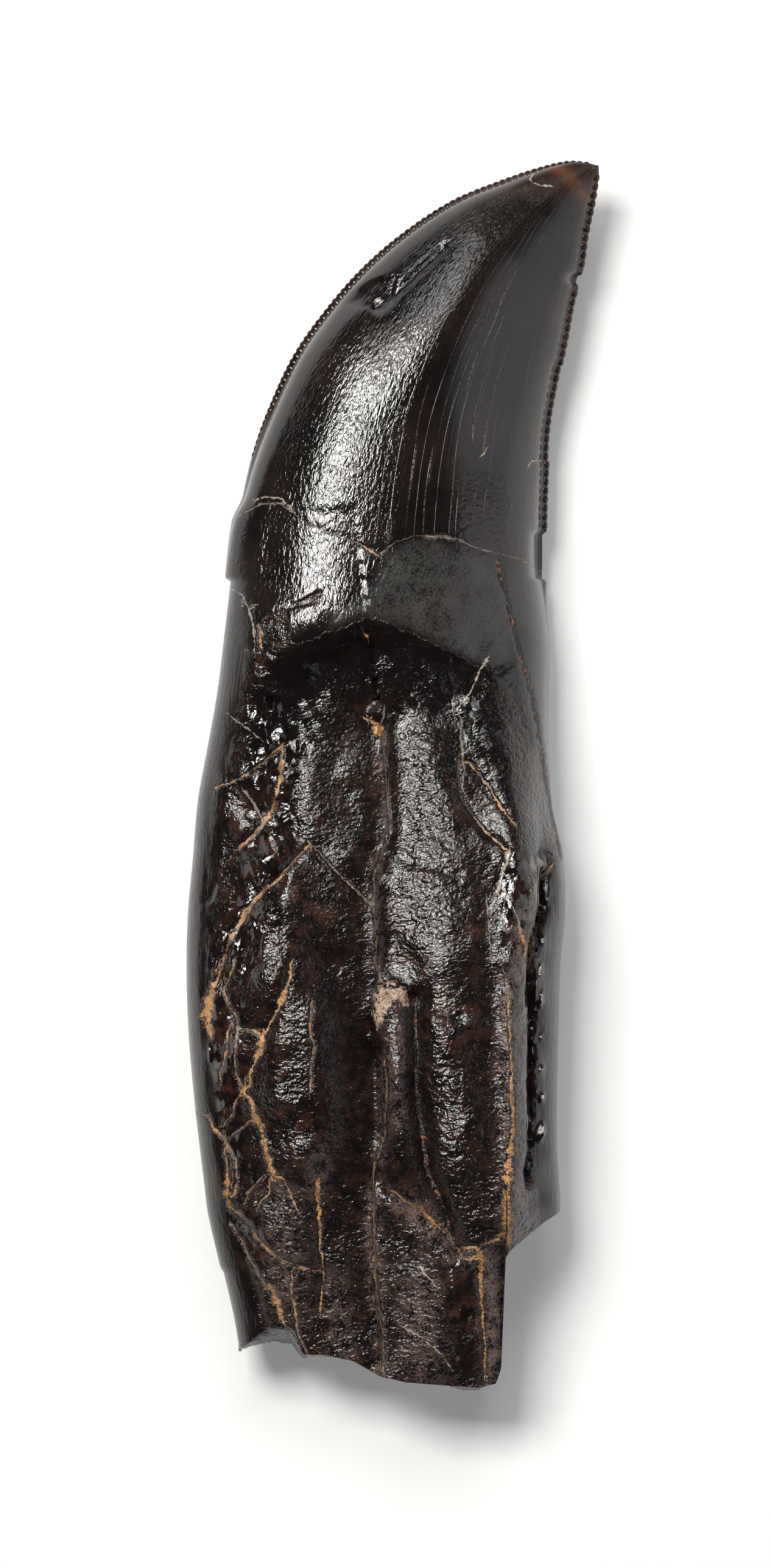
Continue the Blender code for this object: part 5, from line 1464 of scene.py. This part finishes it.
def vein_colour(paint, at):
    """Tan mineral, dull to bright by its tint: pale pink above 1, and rust where it is negative."""
    tint = paint.value("vein_tint")
    bright = paint.step(tint * 0.6 + paint.noise(at.place, 0.8, 2.0, 0.6), 0.72, 1.05)
    colour = paint.mix(bright, VEIN_DULL, VEIN_BRIGHT)
    colour = paint.mix(paint.step(tint, 1.2, 1.9), colour, PLUG_COLOUR)
    colour = paint.mix(paint.step(at.grit, 0.5, 0.75) * 0.45, colour, VEIN_PALE)
    colour = paint.mix(paint.step(at.mottled, 0.46, 0.6) * 0.6, colour, VEIN_DARK)
    rusty = paint.step(paint.noise(at.place, 2.5, 3.0, 0.6), 0.55, 0.63)
    rust = paint.mix(rusty, ENAMEL_DARK, RUST)
    return paint.mix(1.0 - paint.step(tint, -0.6, -0.3), colour, rust)


def fossil_colour(paint, at):
    """Root and enamel, with the broken end, painted shade in the grooves beside the veins, and the
    veins, the hairlines and the threads over them.
    """
    colour = paint.mix(at.coated, root_colour(paint, at), enamel_colour(paint, at))
    broken = paint.value("broken") * paint.step(at.mottled, 0.4, 0.6)
    colour = paint.mix(broken * 0.8, colour, BREAK_GREY)
    # painted shade: the groove along each crack is darkened
    colour = paint.mix(at.groove * 0.7, colour, ENAMEL_DARK)
    solid = paint.step(at.mottled * 0.5 + at.grit, 0.56, 0.72) * 0.75 + 0.25
    colour = paint.mix(at.veins * solid, colour, vein_colour(paint, at))
    colour = paint.mix(at.hairs * paint.value("hair_tint"), colour, HAIR_COLOUR)
    drawn = at.threads * paint.step(at.grit, 0.42, 0.6)
    return paint.mix(drawn * 0.34, colour, THREAD_COLOUR)


def root_bumps(paint, at):
    """The leathery skin of the root, its ripples, its shattered chips and its barky margins."""
    creased = paint.noise(paint.stretched(at.place, (0.8, 1.2, 1.0)), 5.5, 2.0, 0.6, 0.4)
    barked = paint.noise(paint.stretched(at.place, (1.0, 0.14, 1.0)), 4.5, 3.0, 0.6)
    counted = at.height * RIPPLES_PER_MM + (paint.noise(at.place, 0.8, 3.0, 0.6) - 0.5) * 4.0
    shingle = paint.maths("FRACT", counted)
    chips = paint.plates(paint.stretched(at.place, (1.0, 0.7, 1.0)), 2.0)
    bare = (1.0 - at.coated) * (1.0 - at.bark)
    rugged = bare * (1.0 - at.wet * 0.6) * (1.0 - at.pit * 0.2)
    low = 1.0 - paint.step(at.height, -30.0, -15.0)
    return (
        at.skin * rugged * (low * LOW_SKIN_HEIGHT + SKIN_HEIGHT + at.rippled * RIPPLED_SKIN_HEIGHT)
        + creased * rugged * (low * LOW_CREASE_HEIGHT + CREASE_HEIGHT)
        - shingle * at.rippled * bare * SHINGLE_HEIGHT
        + chips * bare * (at.wet * WET_CHIP_HEIGHT + at.pit * PIT_CHIP_HEIGHT)
        + at.grit * (rugged * GRIT_HEIGHT + LEAST_GRIT_HEIGHT)
        + barked * at.bark * (1.0 - at.coated) * BARK_HEIGHT
    )


def enamel_bumps(paint, at):
    """The wrinkles, streaks and grain of the enamel."""
    wrinkles = paint.noise(paint.stretched(at.flow, (1.0, 0.45, 1.0)), 4.6, 2.0, 0.6, 0.4)
    upper = paint.step(at.height, 16.0, 30.0)
    streaks = paint.noise(at.lined, 6.0, 2.0, 0.6)
    return (
        wrinkles * at.wrinkled * (WRINKLE_HEIGHT - upper * UPPER_WRINKLE_LOSS)
        + streaks * at.firm * at.crown * STREAK_HEIGHT
        + at.skin * at.firm * (1.0 - at.crown) * (1.0 - at.smooth) * FIRM_SKIN_HEIGHT
        + at.grit * at.smooth * SMOOTH_GRIT_HEIGHT
    )


def line_bumps(at):
    """Threads and veins, which stand up, and the cracks and hairlines, which don't."""
    return (
        at.threads * THREAD_HEIGHT
        + at.veins * VEIN_HEIGHT
        - at.groove * GROOVE_DEPTH
        - at.hairs * HAIR_DEPTH
    )


def fossil_finish():
    """Glossy near-black enamel, leathery dark root, tan veins and pale scratches."""
    paint = Paint("fossil tooth")
    at = shared_fields(paint)
    paint.feed(paint.shader.inputs["Base Color"], fossil_colour(paint, at))
    bump = paint.node("ShaderNodeBump")
    bump.inputs["Strength"].default_value = 1.0
    bump.inputs["Distance"].default_value = MM
    bumps = root_bumps(paint, at) + enamel_bumps(paint, at) + line_bumps(at)
    paint.feed(bump.inputs["Height"], bumps)
    paint.feed(paint.shader.inputs["Normal"], Field(paint, bump.outputs["Normal"]))
    rough = LEAST_ROUGHNESS
    for name, more in ROUGHER.items():
        rough = rough + getattr(at, name) * more
    paint.feed(paint.shader.inputs["Roughness"], rough)
    paint.shader.inputs["IOR"].default_value = FOSSIL_IOR
    return paint.material


def make_tooth():
    """The whole fossil as one mesh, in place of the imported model's tooth."""
    skin = Skin()
    upper, lower = add_faces(skin)
    close_tip(skin, upper, lower)
    close_end(skin, upper, lower)
    add_serrations(skin, rear=True)
    add_serrations(skin, rear=False)
    data = skin.mesh("fossil_tooth")
    data.materials.append(fossil_finish())
    data.shade_smooth()
    data.set_sharp_from_angle(angle=math.radians(SHARPEST_SMOOTH_EDGE))
    tooth = bpy.data.objects.new("fossil_tooth", data)
    bpy.context.scene.collection.objects.link(tooth)
    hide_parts("tooth")
    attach(tooth, "root")
    return tooth


def make_floor():
    """A plain pale surface under the tooth."""
    half = FLOOR_HALF_SIZE
    data = bpy.data.meshes.new("floor")
    corners = [(-half, -half, 0), (half, -half, 0), (half, half, 0), (-half, half, 0)]
    data.from_pydata(corners, [], [(0, 1, 2, 3)])
    paint = Paint("pale floor")
    paint.shader.inputs["Base Color"].default_value = (*FLOOR_COLOUR, 1)
    paint.shader.inputs["Roughness"].default_value = FLOOR_ROUGHNESS
    paint.shader.inputs["Specular IOR Level"].default_value = FLOOR_GLOSS
    paint.shader.inputs["Emission Color"].default_value = (1, 1, 1, 1)
    paint.shader.inputs["Emission Strength"].default_value = FLOOR_GLOW
    data.materials.append(paint.material)
    floor = bpy.data.objects.new("floor", data)
    floor.location.z = -FLOOR_DROP * MM
    bpy.context.scene.collection.objects.link(floor)


def make_light(name, towards, distance, size, radiance, colour, turn):
    """A rectangular soft light in a direction from the tooth, facing it and turned on its stand."""
    lamp = bpy.data.lights.new(name, "AREA")
    lamp.shape = "RECTANGLE"
    lamp.size, lamp.size_y = size
    lamp.energy = radiance * math.pi * size[0] * size[1]
    lamp.color = colour
    light = bpy.data.objects.new(name, lamp)
    direction = np.array(towards, float) / np.linalg.norm(towards)
    light.location = direction * distance
    light.rotation_mode = "QUATERNION"
    turned = Quaternion((0.0, 0.0, 1.0), math.radians(turn))
    light.rotation_quaternion = light.location.to_track_quat("Z", "Y") @ turned
    light.visible_camera = False
    bpy.context.scene.collection.objects.link(light)


def light_studio():
    """The three soft lights and a faint even surround."""
    for name, settings in LIGHTS.items():
        make_light(name, *settings)
    world = bpy.data.worlds.new("studio")
    world.use_nodes = True
    background = world.node_tree.nodes["Background"]
    background.inputs["Color"].default_value = (*WORLD_COLOUR, 1)
    background.inputs["Strength"].default_value = WORLD_STRENGTH
    bpy.context.scene.world = world
    bpy.context.scene.view_settings.view_transform = "Standard"


def make_camera():
    """Looks straight down through a long lens."""
    data = bpy.data.cameras.new("camera")
    data.sensor_width = SENSOR_WIDTH
    data.lens = LENS
    frame_height = IMAGE_SIZE[1] * PIXEL
    distance = frame_height * data.lens / data.sensor_width
    camera = bpy.data.objects.new("camera", data)
    x = (IMAGE_SIZE[0] / 2 - DESIGN_ORIGIN[0]) * PIXEL
    y = (DESIGN_ORIGIN[1] - IMAGE_SIZE[1] / 2) * PIXEL
    camera.location = (x * MM, y * MM, (distance + FOCUS_HEIGHT) * MM)
    data.clip_start, data.clip_end = CLIP
    bpy.context.scene.collection.objects.link(camera)
    bpy.context.scene.camera = camera


make_tooth()
make_floor()
light_studio()
make_camera()
